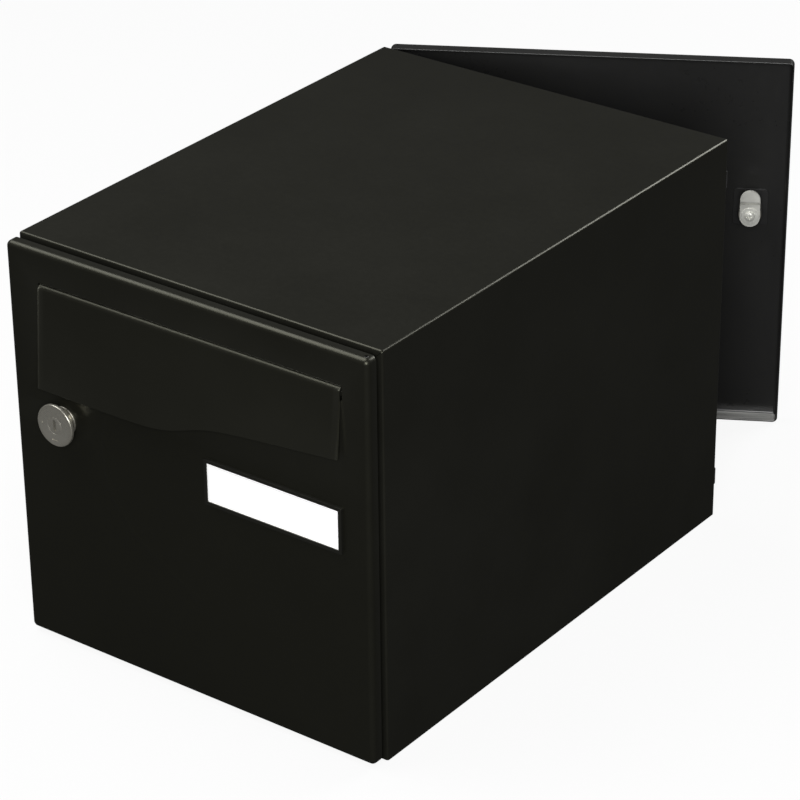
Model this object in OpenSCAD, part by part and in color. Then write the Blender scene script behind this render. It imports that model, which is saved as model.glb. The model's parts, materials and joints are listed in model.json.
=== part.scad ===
// Double-access parcel and letter box in folded steel sheet: an open-ended casing on a base plate,
// with a locking door at each end. The front door carries the mail flap and the name plate.
// The origin is the centre of the underside, the front faces -Y and +Z is up.

/* [Body] */
// Width of the casing across its two sides
body_w = 300; // [290:1:400]
// Height of the casing from its underside to its top
body_h = 300; // [260:1:420]
// Depth of the casing between its two ends
body_d = 400; // [300:1:600]
// Thickness of the steel sheet in the casing, frames and doors
sheet = 1.2; // [1:0.05:1.5]
// Outside radius of the casing's long bends, along its top edges
casing_bend_r = 2; // [1.8:0.1:4]
// Width of the flanges turned inwards at the casing's two ends
end_flange = 10.5; // [10:0.5:12.5]
// Height of the base plate's side flanges
base_side_flange = 12; // [8:1:20]

/* [Fixing holes] */
// Diameter of the four holes in the base plate
base_hole_d = 8; // [5:0.5:12]
// Distance between the fixing holes across the box
base_hole_dx = 180; // [100:1:230]
// Distance between the fixing holes along the box
base_hole_dy = 240; // [100:1:250]

/* [Door frames] */
// How far the front frame stands out of the casing
neck_out = 4.4; // [3.5:0.1:4.6]
// Width of the front frame's stop flange
front_stop_w = 12.5; // [10:0.5:13]
// Width of the rear frame's stop flange
rear_stop_w = 17; // [14:0.5:17]
// Length of the rear frame's leg along the casing
rear_frame_leg = 18; // [10:1:30]

/* [Doors] */
// How far each closed door's face stands out of the casing's end
door_proud = 14.4; // [13.8:0.1:16]
// Depth of the front door's folded edge
front_pan_depth = 9; // [8:0.1:9.4]
// Depth of the rear door's folded edge
rear_pan_depth = 12.4; // [10:0.1:12.6]
// Outside radius of the doors' front bends
door_bend_r = 4; // [2:0.1:4.5]
// Inset of the doors' sides from the casing's sides
door_side_gap = 0.5; // [0.3:0.1:1]
// Inset of the doors' top edge from the casing's top
door_top_gap = 1; // [0.5:0.1:3]
// Height of the front door's bottom edge over the casing's underside
front_bottom_gap = 2.5; // [1:0.1:4]
// Height of the rear door's bottom edge over the casing's underside
rear_bottom_gap = 1; // [0.8:0.1:4]
// Angle that the rear door stands open at rest
rear_door_open = 29.5; // [0:0.5:100]

/* [Hinges] */
// Diameter of the hinge pins
hinge_pin_d = 3; // [2.5:0.1:3.6]
// Wall round the pin in each hinge lug
lug_wall = 1.3; // [1:0.1:1.5]
// Thickness of the hinge lugs
lug_t = 2.5; // [2:0.1:4]
// Width of each lug's leg where it meets its frame
lug_leg_w = 7; // [5:0.5:9]

/* [Mail flap] */
// Width of the mail flap
flap_w = 249; // [240:1:250]
// How far the flap's centre lies from the door's centre, towards the hinge
flap_shift = 3.5; // [0:0.5:4]
// Distance from the casing's top down to the flap's hinge axis
flap_drop = 29.3; // [28:0.1:34]
// Length of the flap below its hinge axis, at its long end
flap_len = 70.6; // [62:0.1:80]
// Thickness of the flap
flap_t = 1.5; // [1:0.1:1.8]
// Outside radius of the curl along the flap's top edge
flap_curl_r = 4.3; // [4:0.1:4.5]
// Lean of the closed flap, its lower edge away from the door
flap_lean = 4.9; // [4.5:0.1:7]
// Diameter of the flap's hinge rod
flap_rod_d = 2.5; // [2:0.1:2.8]
// Step in the flap's wavy lower edge
wave_step = 13; // [0:0.5:16]
// Rise of the lower edge past the step, for each millimetre across
wave_slope = 0.095; // [0:0.005:0.12]

/* [Mail slot] */
// Width of the slot in the front door
slot_w = 231; // [200:1:232]
// Height of the slot, up to the flap's hinge recess
slot_h = 33; // [24:0.5:34]

/* [Locks] */
// Distance from the casing's top down to both locks
lock_drop = 121.8; // [110:0.1:140]
// Distance of the front lock from the casing's side
front_lock_in = 43.6; // [40:0.1:46]
// Distance of the rear lock from the casing's side
rear_lock_in = 28.3; // [28.3:0.1:30]
// Diameter of the lock barrel
barrel_d = 17; // [16:0.1:17.4]
// Length of the barrel behind the door's face
barrel_len = 16.8; // [16.6:0.1:18]
// Diameter of the plug that turns in the barrel
plug_d = 12; // [10.5:0.1:12.2]
// Diameter of the round knob on the plug
knob_d = 30.5; // [26:0.5:34]
// Thickness of the knob
knob_t = 2.8; // [2:0.1:4]
// How far the knob's face stands out of the door
knob_out = 9.5; // [7:0.1:12]
// Width of the locking cams
cam_w = 15; // [12:0.5:15]
// Thickness of the locking cams
cam_t = 2; // [1.5:0.1:2.5]
// Length of a cam past the lock's axis on its short side
cam_tail = 9; // [8:0.5:10]
// Reach of the front cam from the lock's axis
front_cam_len = 30; // [26:0.5:30.5]
// Reach of the rear cam from the lock's axis
rear_cam_len = 21; // [17:0.5:24]
// Step in the front cam, towards the door
front_cam_crank = 3.6; // [2:0.1:4.4]
// Step in the rear cam, away from the door
rear_cam_crank = 2; // [0:0.1:4]

/* [Name plate] */
// Width of the name plate's window
label_w = 107; // [60:1:120]
// Height of the name plate's window
label_h = 28.5; // [20:0.5:35]
// Distance from the door's centre to the window's centre, towards the hinge
label_x = 72; // [60:1:74]
// Distance from the casing's top down to the window's centre
label_drop = 127.2; // [124:0.1:160]
// Width of the lip round the window
label_lip = 2.6; // [2:0.1:4]
// Height of the name plate holder over the door's face
label_t = 2.2; // [1.8:0.1:3]

/* [Hidden] */
$fn = 64;

// Clearances
running_fit = 0.05;       // radial, between a pin or shaft and its bore
press_fit = 0.02;         // radial interference of the pins and the flap's rod in their holes
lug_clear = 0.5;          // between a hinge lug's eye and the door's side
skin_clear = 0.8;         // between a hinge lug's eye and the door's skin
swing_clear = 0.8;        // between a hinge lug's leg and the swinging edge of the door
lug_lift = 2;             // between the casing's end flange and the lower hinge lug
lug_arm = 1;              // how far a lug's arm reaches past the hinge axis
stop_clear = 0.3;         // between the closed door and its rubber buffers
slip = 0.1;               // between a fixed part and the cut-out it sits in
past = 1;                 // how far a cutting shape runs past what it cuts

half_w = body_w / 2;
half_d = body_d / 2;
door_w = body_w - 2 * door_side_gap;
door_face_y = -half_d - door_proud;
neck_y = -half_d - neck_out;

// Hinge axes, the same on both doors once the rear one is turned half round
pin_r = hinge_pin_d / 2;
eye_r = pin_r + lug_wall;
hinge_x = half_w - door_side_gap - sheet - lug_clear - eye_r;
hinge_y = door_face_y + sheet + skin_clear + eye_r;
lug_z = end_flange + lug_lift;
pin_collar_r = 0.9 * eye_r;
pin_collar_gap = 0.15;    // between a pin's collar and the lug
function swing_r(pan_depth) = norm([half_w - door_side_gap - hinge_x, door_face_y + pan_depth - hinge_y]);

flap_axis_z = body_h - flap_drop;
flap_axis_y = door_face_y + flap_curl_r - flap_t;
flap_rod_r = flap_rod_d / 2;
flap_gap = 1;             // round the flap in the door's hinge recess
recess_h = 5.7;           // depth of that recess below the hinge axis
slot_top = flap_axis_z - recess_h;
bracket_t = 2;            // thickness of the ears that hold the flap's rod
ear_clear = 0.4;          // between an ear and the end of the hinge recess
ear_past_rod = 2;         // how far an ear reaches past the rod

lock_z = body_h - lock_drop;
collar_d = barrel_d + 4;  // collar of the barrel against the door's face
collar_t = 1;
knob_gap = 0.2;           // between the knob and the barrel's outer end
cam_gap = 0.1;            // between the barrel's inner end and the cam
cam_z = barrel_len + cam_gap;
plug_square = 7;          // square end of the plug, which drives the cam
clip_t = 1.2;             // thickness of the spring clip behind the door
clip_slot = barrel_d - 3; // width of the clip's slot, across the barrel's grooves
clip_side = 4.5;          // width of the clip on each side of the barrel
clip_end = 6;             // its height above and below the barrel
washer_t = 0.8;
washer_r = 6.5;
screw_r = 2;
screw_head_r = 3.8;
screw_head_t = 2.2;

// ---- Shapes used more than once ----

// A folded edge in plan: a rectangle whose two corners at y = 0 are bends
module bent_outline(width, depth, r) {
    translate([-width / 2, r]) square([width, depth - r]);
    translate([r - width / 2, 0]) square([width - 2 * r, depth]);
    for (side = [-1, 1])
        translate([side * (width / 2 - r), r]) circle(r);
}

// A block with its face at y = 0 and bends along all four edges of that face
module bent_block(width, height, depth, r) {
    intersection() {
        linear_extrude(height) bent_outline(width, depth, r);
        translate([-width / 2, 0, height / 2])
            rotate([0, 90, 0]) linear_extrude(width) bent_outline(height, depth, r);
    }
}

// A door: a shallow pan of sheet, open towards the box
module door_pan(depth, bottom_gap) {
    door_h = body_h - door_top_gap - bottom_gap;
    translate([0, door_face_y, bottom_gap])
        difference() {
            bent_block(door_w, door_h, depth, door_bend_r);
            translate([0, sheet, sheet])
                bent_block(door_w - 2 * sheet, door_h - 2 * sheet, depth, door_bend_r - sheet);
        }
}

// A rectangular ring of sheet round the box's axis, between two planes across it
module ring(outer_in, inner_in, y0, y1) {
    difference() {
        translate([outer_in - half_w, y0, outer_in])
            cube([body_w - 2 * outer_in, y1 - y0, body_h - 2 * outer_in]);
        translate([inner_in - half_w, y0 - past, inner_in])
            cube([body_w - 2 * inner_in, y1 - y0 + 2 * past, body_h - 2 * inner_in]);
    }
}

// Puts a piece drawn for the front end at the rear end
module at_rear() {
    rotate([0, 0, 180]) children();
}

// Puts a piece drawn for the closed front end on the open rear door
module on_rear_door() {
    at_rear()
        translate([hinge_x, hinge_y, 0])
            rotate([0, 0, rear_door_open])
                translate([-hinge_x, -hinge_y, 0]) children();
}

// Runs +Z into the box along a lock's axis, from the door's face
module at_lock(lock_in) {
    translate([lock_in - half_w, door_face_y, lock_z]) rotate([-90, 0, 0]) children();
}

// Puts a shape drawn for the door's lower hinge at both hinges
module both_hinges() {
    children();
    translate([0, 0, body_h]) mirror([0, 0, 1]) children();
}

// ---- Casing, base and frames ----

module casing() {
    color([0.13, 0.13, 0.12])
        difference() {
            casing_tunnel(0, half_d, 0);
            casing_tunnel(sheet, half_d - sheet, -past);
            translate([end_flange - half_w, -half_d - past, -past])
                cube([body_w - 2 * end_flange, body_d + 2 * past, body_h - end_flange + past]);
        }
}

// The casing's section, moved in by a wall, between two planes across the box
module casing_tunnel(wall, half_len, z0) {
    r = casing_bend_r - wall;
    translate([0, -half_len, body_h - wall])
        rotate([-90, 0, 0]) linear_extrude(2 * half_len)
            bent_outline(body_w - 2 * wall, body_h - wall - z0, r);
}

module base_plate() {
    color([0.12, 0.12, 0.115])
        difference() {
            union() {
                translate([sheet - half_w, sheet - half_d, 0])
                    cube([body_w - 2 * sheet, body_d - 2 * sheet, sheet]);
                translate([end_flange - half_w, -half_d, 0])
                    cube([body_w - 2 * end_flange, body_d, sheet]);
                for (turn = [0, 180])
                    rotate([0, 0, turn]) {
                        translate([end_flange - half_w, -half_d, 0])
                            cube([body_w - 2 * end_flange, sheet, end_flange]);
                        translate([sheet - half_w, 2 * rear_frame_leg - half_d, 0])
                            cube([sheet, body_d - 4 * rear_frame_leg, base_side_flange]);
                    }
            }
            for (x = [-1, 1], y = [-1, 1])
                translate([x * base_hole_dx / 2, y * base_hole_dy / 2, -past])
                    cylinder(d = base_hole_d, h = sheet + 2 * past);
        }
}

// Folded neck inside the casing's front end, its foot behind the casing's end flange
module front_neck() {
    foot_y = sheet - half_d;
    color([0.11, 0.11, 0.105]) {
        difference() {
            ring(sheet, end_flange, foot_y, foot_y + sheet);
            frame_corner_cuts(foot_y - past, sheet + 2 * past);
        }
        ring(end_flange, end_flange + sheet, neck_y + sheet, foot_y + sheet);
    }
}

// Flat frame on the neck's rim, which the front lock's cam closes behind
module front_stop() {
    color([0.11, 0.11, 0.105])
        ring(end_flange, end_flange + front_stop_w, neck_y, neck_y + sheet);
}

module rear_frame() {
    flange_y = half_d - sheet;
    color([0.11, 0.11, 0.105])
        difference() {
            union() {
                ring(sheet, sheet + rear_stop_w, flange_y - sheet, flange_y);
                ring(sheet, 2 * sheet, flange_y - rear_frame_leg, flange_y);
            }
            frame_corner_cuts(flange_y - rear_frame_leg - past, rear_frame_leg + 2 * past);
        }
}

// Clears a frame's two top corners of the casing's bends
module frame_corner_cuts(y0, length) {
    for (side = [-1, 1])
        translate([side * (half_w - sheet), y0, body_h - sheet])
            rotate([-90, 0, 0])
                rotate([0, 0, 45])
                    translate([-casing_bend_r, -casing_bend_r, 0] / 2)
                        cube([casing_bend_r, casing_bend_r, length]);
}

// A flat lug: an eye on the hinge axis, an arm along the door and a leg back to the frame
module hinge_lug(pan_depth, frame_y) {
    leg_start = swing_r(pan_depth) + swing_clear;
    translate([hinge_x, hinge_y, lug_z])
        difference() {
            union() {
                cylinder(r = eye_r, h = lug_t);
                translate([-leg_start - lug_leg_w, -eye_r, 0])
                    cube([leg_start + lug_leg_w, eye_r + lug_arm, lug_t]);
                translate([-leg_start - lug_leg_w, -eye_r, 0])
                    cube([lug_leg_w, frame_y - hinge_y + eye_r, lug_t]);
            }
            translate([0, 0, -past]) cylinder(r = pin_r + running_fit, h = lug_t + 2 * past);
        }
}

module front_hinge_lugs() {
    color([0.2, 0.2, 0.2]) both_hinges() hinge_lug(front_pan_depth, neck_y);
}

module rear_hinge_lugs() {
    color([0.2, 0.2, 0.2]) at_rear() both_hinges() hinge_lug(rear_pan_depth, sheet - half_d);
}

// A stepped pin pressed into a door's flange, its thin end through the lug's eye
module hinge_pin(edge_gap) {
    root_z = edge_gap + door_bend_r;
    translate([hinge_x, hinge_y, 0]) {
        translate([0, 0, edge_gap])
            cylinder(r = pin_r, h = lug_z + lug_t + pin_r - edge_gap);
        translate([0, 0, root_z])
            cylinder(r = pin_collar_r, h = lug_z - pin_collar_gap - root_z);
    }
}

// Both pins of a door, each from the outside of its own flange
module hinge_pins(bottom_gap) {
    hinge_pin(bottom_gap);
    translate([0, 0, body_h]) mirror([0, 0, 1]) hinge_pin(door_top_gap);
}

// Holes in a door's top and bottom flanges, tight on the hinge pins
module pin_holes(bottom_gap) {
    depth = door_bend_r + 2 * past;
    for (z = [bottom_gap - past, body_h - door_top_gap - depth + past])
        translate([hinge_x, hinge_y, z]) cylinder(r = pin_r - press_fit, h = depth);
}

module front_hinge_pins() {
    color([0.62, 0.62, 0.6]) hinge_pins(front_bottom_gap);
}

module rear_hinge_pins() {
    color([0.62, 0.62, 0.6]) on_rear_door() hinge_pins(rear_bottom_gap);
}

// Two rubber pads on the casing's end flange, behind the door's free edge
module door_buffers(pan_depth) {
    pad_w = 5.5;
    pad_h = 14;
    pad_t = door_proud - pan_depth - stop_clear;
    color([0.05, 0.05, 0.05])
        for (z = [end_flange + pad_h, body_h - end_flange - 2 * pad_h])
            translate([door_side_gap - half_w, -half_d - pad_t, z]) cube([pad_w, pad_t, pad_h]);
}

module front_door_buffers() {
    door_buffers(front_pan_depth);
}

module rear_door_buffers() {
    at_rear() door_buffers(rear_pan_depth);
}

// ---- Front door ----

module front_door_panel() {
    color([0.11, 0.11, 0.1])
        difference() {
            door_pan(front_pan_depth, front_bottom_gap);
            pin_holes(front_bottom_gap);
            at_lock(front_lock_in) lock_hole();
            mail_slot();
            label_holes(slip);
            guard_rivet_places() cylinder(r = rivet_r + slip, h = 2 * sheet + 2 * past, center = true);
        }
}

module rear_door_panel() {
    color([0.12, 0.12, 0.12])
        on_rear_door()
            difference() {
                door_pan(rear_pan_depth, rear_bottom_gap);
                pin_holes(rear_bottom_gap);
                at_lock(rear_lock_in) lock_hole();
            }
}

// Round hole for a lock barrel
module lock_hole() {
    translate([0, 0, -past]) cylinder(d = barrel_d + 2 * slip, h = sheet + 2 * past);
}

// Slot for the mail, with a wider recess at its top for the flap's curl
module mail_slot() {
    recess_w = flap_w + 2 * flap_gap;
    cut_y = door_face_y - past;
    cut_t = sheet + 2 * past;
    translate([flap_shift - recess_w / 2, cut_y, slot_top])
        cube([recess_w, cut_t, recess_h + flap_curl_r + flap_gap]);
    translate([flap_shift - slot_w / 2, cut_y, slot_top - slot_h])
        cube([slot_w, cut_t, slot_h + past]);
}

// A guard inside the slot: a flange on the door, a ledge sloping down and in, and a lip
guard_flange = 9;         // height of the guard's flange on the door
guard_reach = 26;         // depth of its ledge
guard_fall = 9;           // fall of the ledge towards its lip
guard_lip = 8;
guard_drop = 1;           // from the slot's lower edge to the guard
guard_top = slot_top - slot_h - guard_drop;

module mail_guard() {
    skin_y = door_face_y + sheet;
    lip_y = guard_reach - sheet;
    color([0.14, 0.14, 0.14])
        difference() {
            translate([flap_shift - slot_w / 2, skin_y, guard_top])
                rotate([90, 0, 90]) linear_extrude(slot_w)
                    polygon([[0, 0], [guard_reach, -guard_fall], [guard_reach, -guard_fall - guard_lip],
                        [lip_y, -guard_fall - guard_lip], [lip_y, -guard_fall - sheet],
                        [sheet, -2 * sheet], [sheet, -guard_flange], [0, -guard_flange]]);
            guard_rivet_places() cylinder(r = rivet_r + slip, h = 4 * sheet, center = true);
        }
}

// Rivets that hold the guard, in a row under the slot and behind the flap
rivet_r = 1.6;
rivet_tail_r = 2.2;
rivet_clear = 0.5;        // between a rivet's tail and the underside of the guard's ledge
rivet_pitch = 70;
rivet_shift = -20;        // of the middle rivet, towards the flap's long end

module guard_rivet_places() {
    rivet_z = guard_top - 2 * sheet - rivet_clear - rivet_tail_r;
    for (i = [-1, 0, 1])
        translate([i * rivet_pitch + rivet_shift, door_face_y + sheet, rivet_z])
            rotate([-90, 0, 0]) children();
}

module guard_rivets() {
    head_r = 2 * rivet_r;
    head_t = 0.9;
    color([0.15, 0.15, 0.15])
        guard_rivet_places() {
            cylinder(r = rivet_r, h = 2 * sheet, center = true);
            translate([0, 0, -sheet - head_t]) cylinder(r1 = head_r - head_t / 2, r2 = head_r, h = head_t);
            translate([0, 0, sheet]) cylinder(r = rivet_tail_r, h = head_t);
        }
}

// ---- Mail flap and its hinge ----

flap_x0 = flap_shift - flap_w / 2;
flap_x1 = flap_shift + flap_w / 2;
ear_x0 = flap_x0 - flap_gap - ear_clear - bracket_t;
ear_x1 = flap_x1 + flap_gap + ear_clear;

// Length of the flap at a place across the door: a smooth step, then a gentle rise
wave_mid = 3;
wave_run = 22;
function wave_rise(x) =
    wave_step / (1 + exp(-2 * (x - wave_mid) / wave_run))
    + wave_slope * wave_run / 2 * ln(1 + exp(2 * (x - wave_mid) / wave_run));

module flap_outline() {
    steps = 48;
    polygon(concat([[flap_x1, 0], [flap_x0, 0]],
        [for (i = [0 : steps])
            let (x = flap_x0 + flap_w * i / steps) [x, wave_rise(x) - flap_len]]));
}

// Moves to the flap's hinge axis, leaning with the closed flap
module on_flap_axis() {
    translate([0, flap_axis_y, flap_axis_z]) rotate([-flap_lean, 0, 0]) children();
}

module along_x(x0, length) {
    translate([x0, 0, 0]) rotate([0, 90, 0]) linear_extrude(length) children();
}

module mail_flap() {
    knuckle_w = 4;
    color([0.13, 0.13, 0.12])
        on_flap_axis() {
            translate([0, flap_t - flap_curl_r, 0])
                rotate([90, 0, 0]) linear_extrude(flap_t) flap_outline();
            difference() {
                along_x(flap_x0, flap_w) circle(flap_curl_r);
                along_x(flap_x0 - past, flap_w + 2 * past) circle(flap_curl_r - flap_t);
                translate([flap_x0 - past, -2 * flap_curl_r, -2 * flap_curl_r])
                    cube([flap_w + 2 * past, 4 * flap_curl_r, 2 * flap_curl_r]);
            }
            for (x = [flap_x0, flap_x1 - knuckle_w])
                difference() {
                    along_x(x, knuckle_w) circle(flap_curl_r);
                    along_x(x - past, knuckle_w + 2 * past) circle(flap_rod_r + running_fit);
                }
        }
}

// Rod pressed into the ears of its two brackets
module flap_rod() {
    color([0.6, 0.6, 0.58])
        translate([0, flap_axis_y, flap_axis_z])
            along_x(ear_x0, ear_x1 + bracket_t - ear_x0) circle(flap_rod_r);
}

// Angle brackets on the door's inside, one at each end of the flap's rod
module flap_brackets() {
    foot_w = 8;
    height = 13;
    depth = flap_axis_y + flap_rod_r + ear_past_rod - (door_face_y + sheet);
    color([0.14, 0.14, 0.14])
        for (end = [[ear_x0, 0], [ear_x1, 1]])
            translate([end[0], door_face_y + sheet, flap_axis_z - height / 2])
                difference() {
                    union() {
                        cube([bracket_t, depth, height]);
                        translate([end[1] * bracket_t - (1 - end[1]) * foot_w, 0, 0])
                            cube([foot_w, sheet, height]);
                    }
                    translate([0, flap_axis_y - door_face_y - sheet, height / 2])
                        along_x(-past, bracket_t + 2 * past) circle(flap_rod_r - press_fit);
                }
}

// Rubber studs between the closed flap and the door, one each side of the slot
module flap_buffers() {
    stud_r = 2.6;
    taper = 0.8;
    drop = 30;
    margin = (flap_w - slot_w) / 4;
    reach = flap_curl_r - flap_t + drop * tan(flap_lean) - (flap_axis_y - door_face_y) - stop_clear;
    color([0.05, 0.05, 0.05])
        for (x = [flap_x0 + margin, flap_x1 - margin])
            translate([x, door_face_y, flap_axis_z - drop])
                rotate([90, 0, 0]) cylinder(r1 = stud_r, r2 = stud_r - taper, h = reach);
}

// ---- Name plate ----

label_wall = 0.8;         // thickness of the holder's back and of its lip
card_t = 0.4;
label_stud_r = 2;
label_stud_head_r = 3;

module at_label() {
    translate([label_x, door_face_y, body_h - label_drop]) rotate([90, 0, 0]) children();
}

// Two studs hold the name plate, one near each end
module label_stud_places() {
    for (side = [-1, 1])
        translate([side * label_w / 3, 0, 0]) children();
}

module label_holes(clearance) {
    at_label() label_stud_places()
        translate([0, 0, -sheet - past]) cylinder(r = label_stud_r + clearance, h = sheet + 2 * past);
}

module label_block(grow, z0, z1) {
    translate([-label_w / 2 - grow, -label_h / 2 - grow, z0])
        cube([label_w + 2 * grow, label_h + 2 * grow, z1 - z0]);
}

module label_holder() {
    color([0.2, 0.2, 0.2])
        at_label() {
            difference() {
                label_block(label_lip, 0, label_t);
                label_block(label_lip / 2, label_wall, label_t - label_wall);
                label_block(0, label_wall, label_t + past);
            }
            label_stud_places() {
                translate([0, 0, -sheet]) cylinder(r = label_stud_r, h = sheet);
                translate([0, 0, -sheet - label_wall]) cylinder(r = label_stud_head_r, h = label_wall);
            }
        }
}

module label_card() {
    color([0.97, 0.97, 0.97])
        at_label() label_block(label_lip / 2 - slip, label_wall, label_wall + card_t);
}

// ---- Locks ----

// Barrel: collar against the door's face, grooved for the clip, bored for the plug
module lock_barrel() {
    out = knob_out - knob_t - knob_gap;
    cut_w = barrel_d;
    difference() {
        union() {
            translate([0, 0, -out]) cylinder(d = barrel_d, h = out + barrel_len);
            translate([0, 0, -collar_t]) cylinder(d = collar_d, h = collar_t);
        }
        translate([0, 0, -out - past])
            cylinder(r = plug_d / 2 + running_fit, h = out + barrel_len + 2 * past);
        for (side = [-1, 1])
            translate([side * (clip_slot + cut_w) / 2 - cut_w / 2, -barrel_d, sheet])
                cube([cut_w, 2 * barrel_d, clip_t + slip]);
    }
}

// Spring clip pushed over the barrel's grooves from above, against the door's inside
module lock_clip() {
    clip_w = barrel_d + 2 * clip_side;
    clip_h = barrel_d + 2 * clip_end;
    difference() {
        translate([-clip_w / 2, -clip_h / 2, sheet]) cube([clip_w, clip_h, clip_t]);
        translate([-clip_slot / 2 - slip, -barrel_d / 2 - slip, sheet - past])
            cube([clip_slot + 2 * slip, clip_h, clip_t + 2 * past]);
    }
}

// Plug and knob in one: keyway in the face, square end and screw hole behind
module lock_plug() {
    edge_r = 0.8;
    knob_r = knob_d / 2;
    shaft_z = knob_t - knob_out;
    square_end = cam_z + cam_t;
    screw_depth = 10;
    key_w = 2.2;
    key_h = 8.5;
    key_depth = 8;
    difference() {
        union() {
            translate([0, 0, -knob_out])
                rotate_extrude() {
                    square([knob_r - edge_r, knob_t]);
                    translate([0, edge_r]) square([knob_r, knob_t - 2 * edge_r]);
                    for (z = [edge_r, knob_t - edge_r])
                        translate([knob_r - edge_r, z]) circle(edge_r);
                }
            translate([0, 0, shaft_z]) cylinder(d = plug_d, h = cam_z - shaft_z);
            translate([-plug_square / 2, -plug_square / 2, cam_z])
                cube([plug_square, plug_square, cam_t]);
        }
        translate([-key_w / 2, -key_h / 2, -knob_out - past]) cube([key_w, key_h, key_depth + past]);
        translate([0, 0, square_end - screw_depth]) cylinder(r = screw_r, h = screw_depth + past);
    }
}

// A cam with round ends, stepped part way along; positive steps go into the box
module lock_cam(reach, crank) {
    step_start = 9;
    step_run = 3;
    end_r = cam_w / 2;
    translate([0, 0, cam_z])
        difference() {
            intersection() {
                translate([0, 0, -2 * cam_t - abs(crank)])
                    linear_extrude(5 * cam_t + 2 * abs(crank)) {
                        translate([-end_r, end_r - reach]) square([cam_w, reach + cam_tail - cam_w]);
                        translate([0, end_r - reach]) circle(end_r);
                        translate([0, cam_tail - end_r]) circle(end_r);
                    }
                translate([-cam_w, 0, 0])
                    rotate([90, 0, 90]) linear_extrude(2 * cam_w)
                        polygon([[cam_tail, 0], [-step_start, 0], [-step_start - step_run, crank],
                            [-reach, crank], [-reach, crank + cam_t],
                            [-step_start - step_run, crank + cam_t], [-step_start, cam_t],
                            [cam_tail, cam_t]]);
            }
            translate([-plug_square / 2 - slip, -plug_square / 2 - slip, -past])
                cube([plug_square + 2 * slip, plug_square + 2 * slip, cam_t + 2 * past]);
        }
}

module cam_washer() {
    translate([0, 0, cam_z + cam_t])
        difference() {
            cylinder(r = washer_r, h = washer_t);
            translate([0, 0, -past]) cylinder(r = screw_r + slip, h = washer_t + 2 * past);
        }
}

module cam_screw() {
    head_z = cam_z + cam_t + washer_t;
    thread_len = 8;
    taper = 0.6;
    cross_len = 4.4;
    cross_w = 0.8;
    cross_depth = 1;
    difference() {
        union() {
            translate([0, 0, head_z])
                cylinder(r1 = screw_head_r, r2 = screw_head_r - taper, h = screw_head_t);
            translate([0, 0, head_z - thread_len])
                cylinder(r = screw_r - running_fit, h = thread_len + past);
        }
        for (turn = [0, 90])
            rotate([0, 0, turn])
                translate([-cross_len / 2, -cross_w / 2, head_z + screw_head_t - cross_depth])
                    cube([cross_len, cross_w, cross_depth + past]);
    }
}

module front_lock_barrel() {
    color([0.55, 0.54, 0.5]) at_lock(front_lock_in) lock_barrel();
}

module front_lock_clip() {
    color([0.6, 0.6, 0.6]) at_lock(front_lock_in) lock_clip();
}

module front_lock_plug() {
    color([0.62, 0.6, 0.55]) at_lock(front_lock_in) lock_plug();
}

module front_lock_cam() {
    color([0.7, 0.7, 0.66]) at_lock(front_lock_in) lock_cam(front_cam_len, -front_cam_crank);
}

module front_cam_washer() {
    color([0.6, 0.6, 0.6]) at_lock(front_lock_in) cam_washer();
}

module front_cam_screw() {
    color([0.75, 0.75, 0.72]) at_lock(front_lock_in) cam_screw();
}

module rear_lock_barrel() {
    color([0.55, 0.54, 0.5]) on_rear_door() at_lock(rear_lock_in) lock_barrel();
}

module rear_lock_clip() {
    color([0.6, 0.6, 0.6]) on_rear_door() at_lock(rear_lock_in) lock_clip();
}

module rear_lock_plug() {
    color([0.62, 0.6, 0.55]) on_rear_door() at_lock(rear_lock_in) lock_plug();
}

module rear_lock_cam() {
    color([0.7, 0.7, 0.66]) on_rear_door() at_lock(rear_lock_in) lock_cam(rear_cam_len, rear_cam_crank);
}

module rear_cam_washer() {
    color([0.6, 0.6, 0.6]) on_rear_door() at_lock(rear_lock_in) cam_washer();
}

module rear_cam_screw() {
    color([0.75, 0.75, 0.72]) on_rear_door() at_lock(rear_lock_in) cam_screw();
}

casing();
base_plate();
front_neck();
front_stop();
rear_frame();
front_hinge_lugs();
rear_hinge_lugs();
front_door_buffers();
rear_door_buffers();
front_door_panel();
front_hinge_pins();
mail_guard();
guard_rivets();
flap_brackets();
flap_rod();
flap_buffers();
label_holder();
label_card();
front_lock_barrel();
front_lock_clip();
front_lock_plug();
front_lock_cam();
front_cam_washer();
front_cam_screw();
mail_flap();
rear_door_panel();
rear_hinge_pins();
rear_lock_barrel();
rear_lock_clip();
rear_lock_plug();
rear_lock_cam();
rear_cam_washer();
rear_cam_screw();
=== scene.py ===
import json
import math

import bmesh
import bpy
from mathutils import Matrix, Vector


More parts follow.
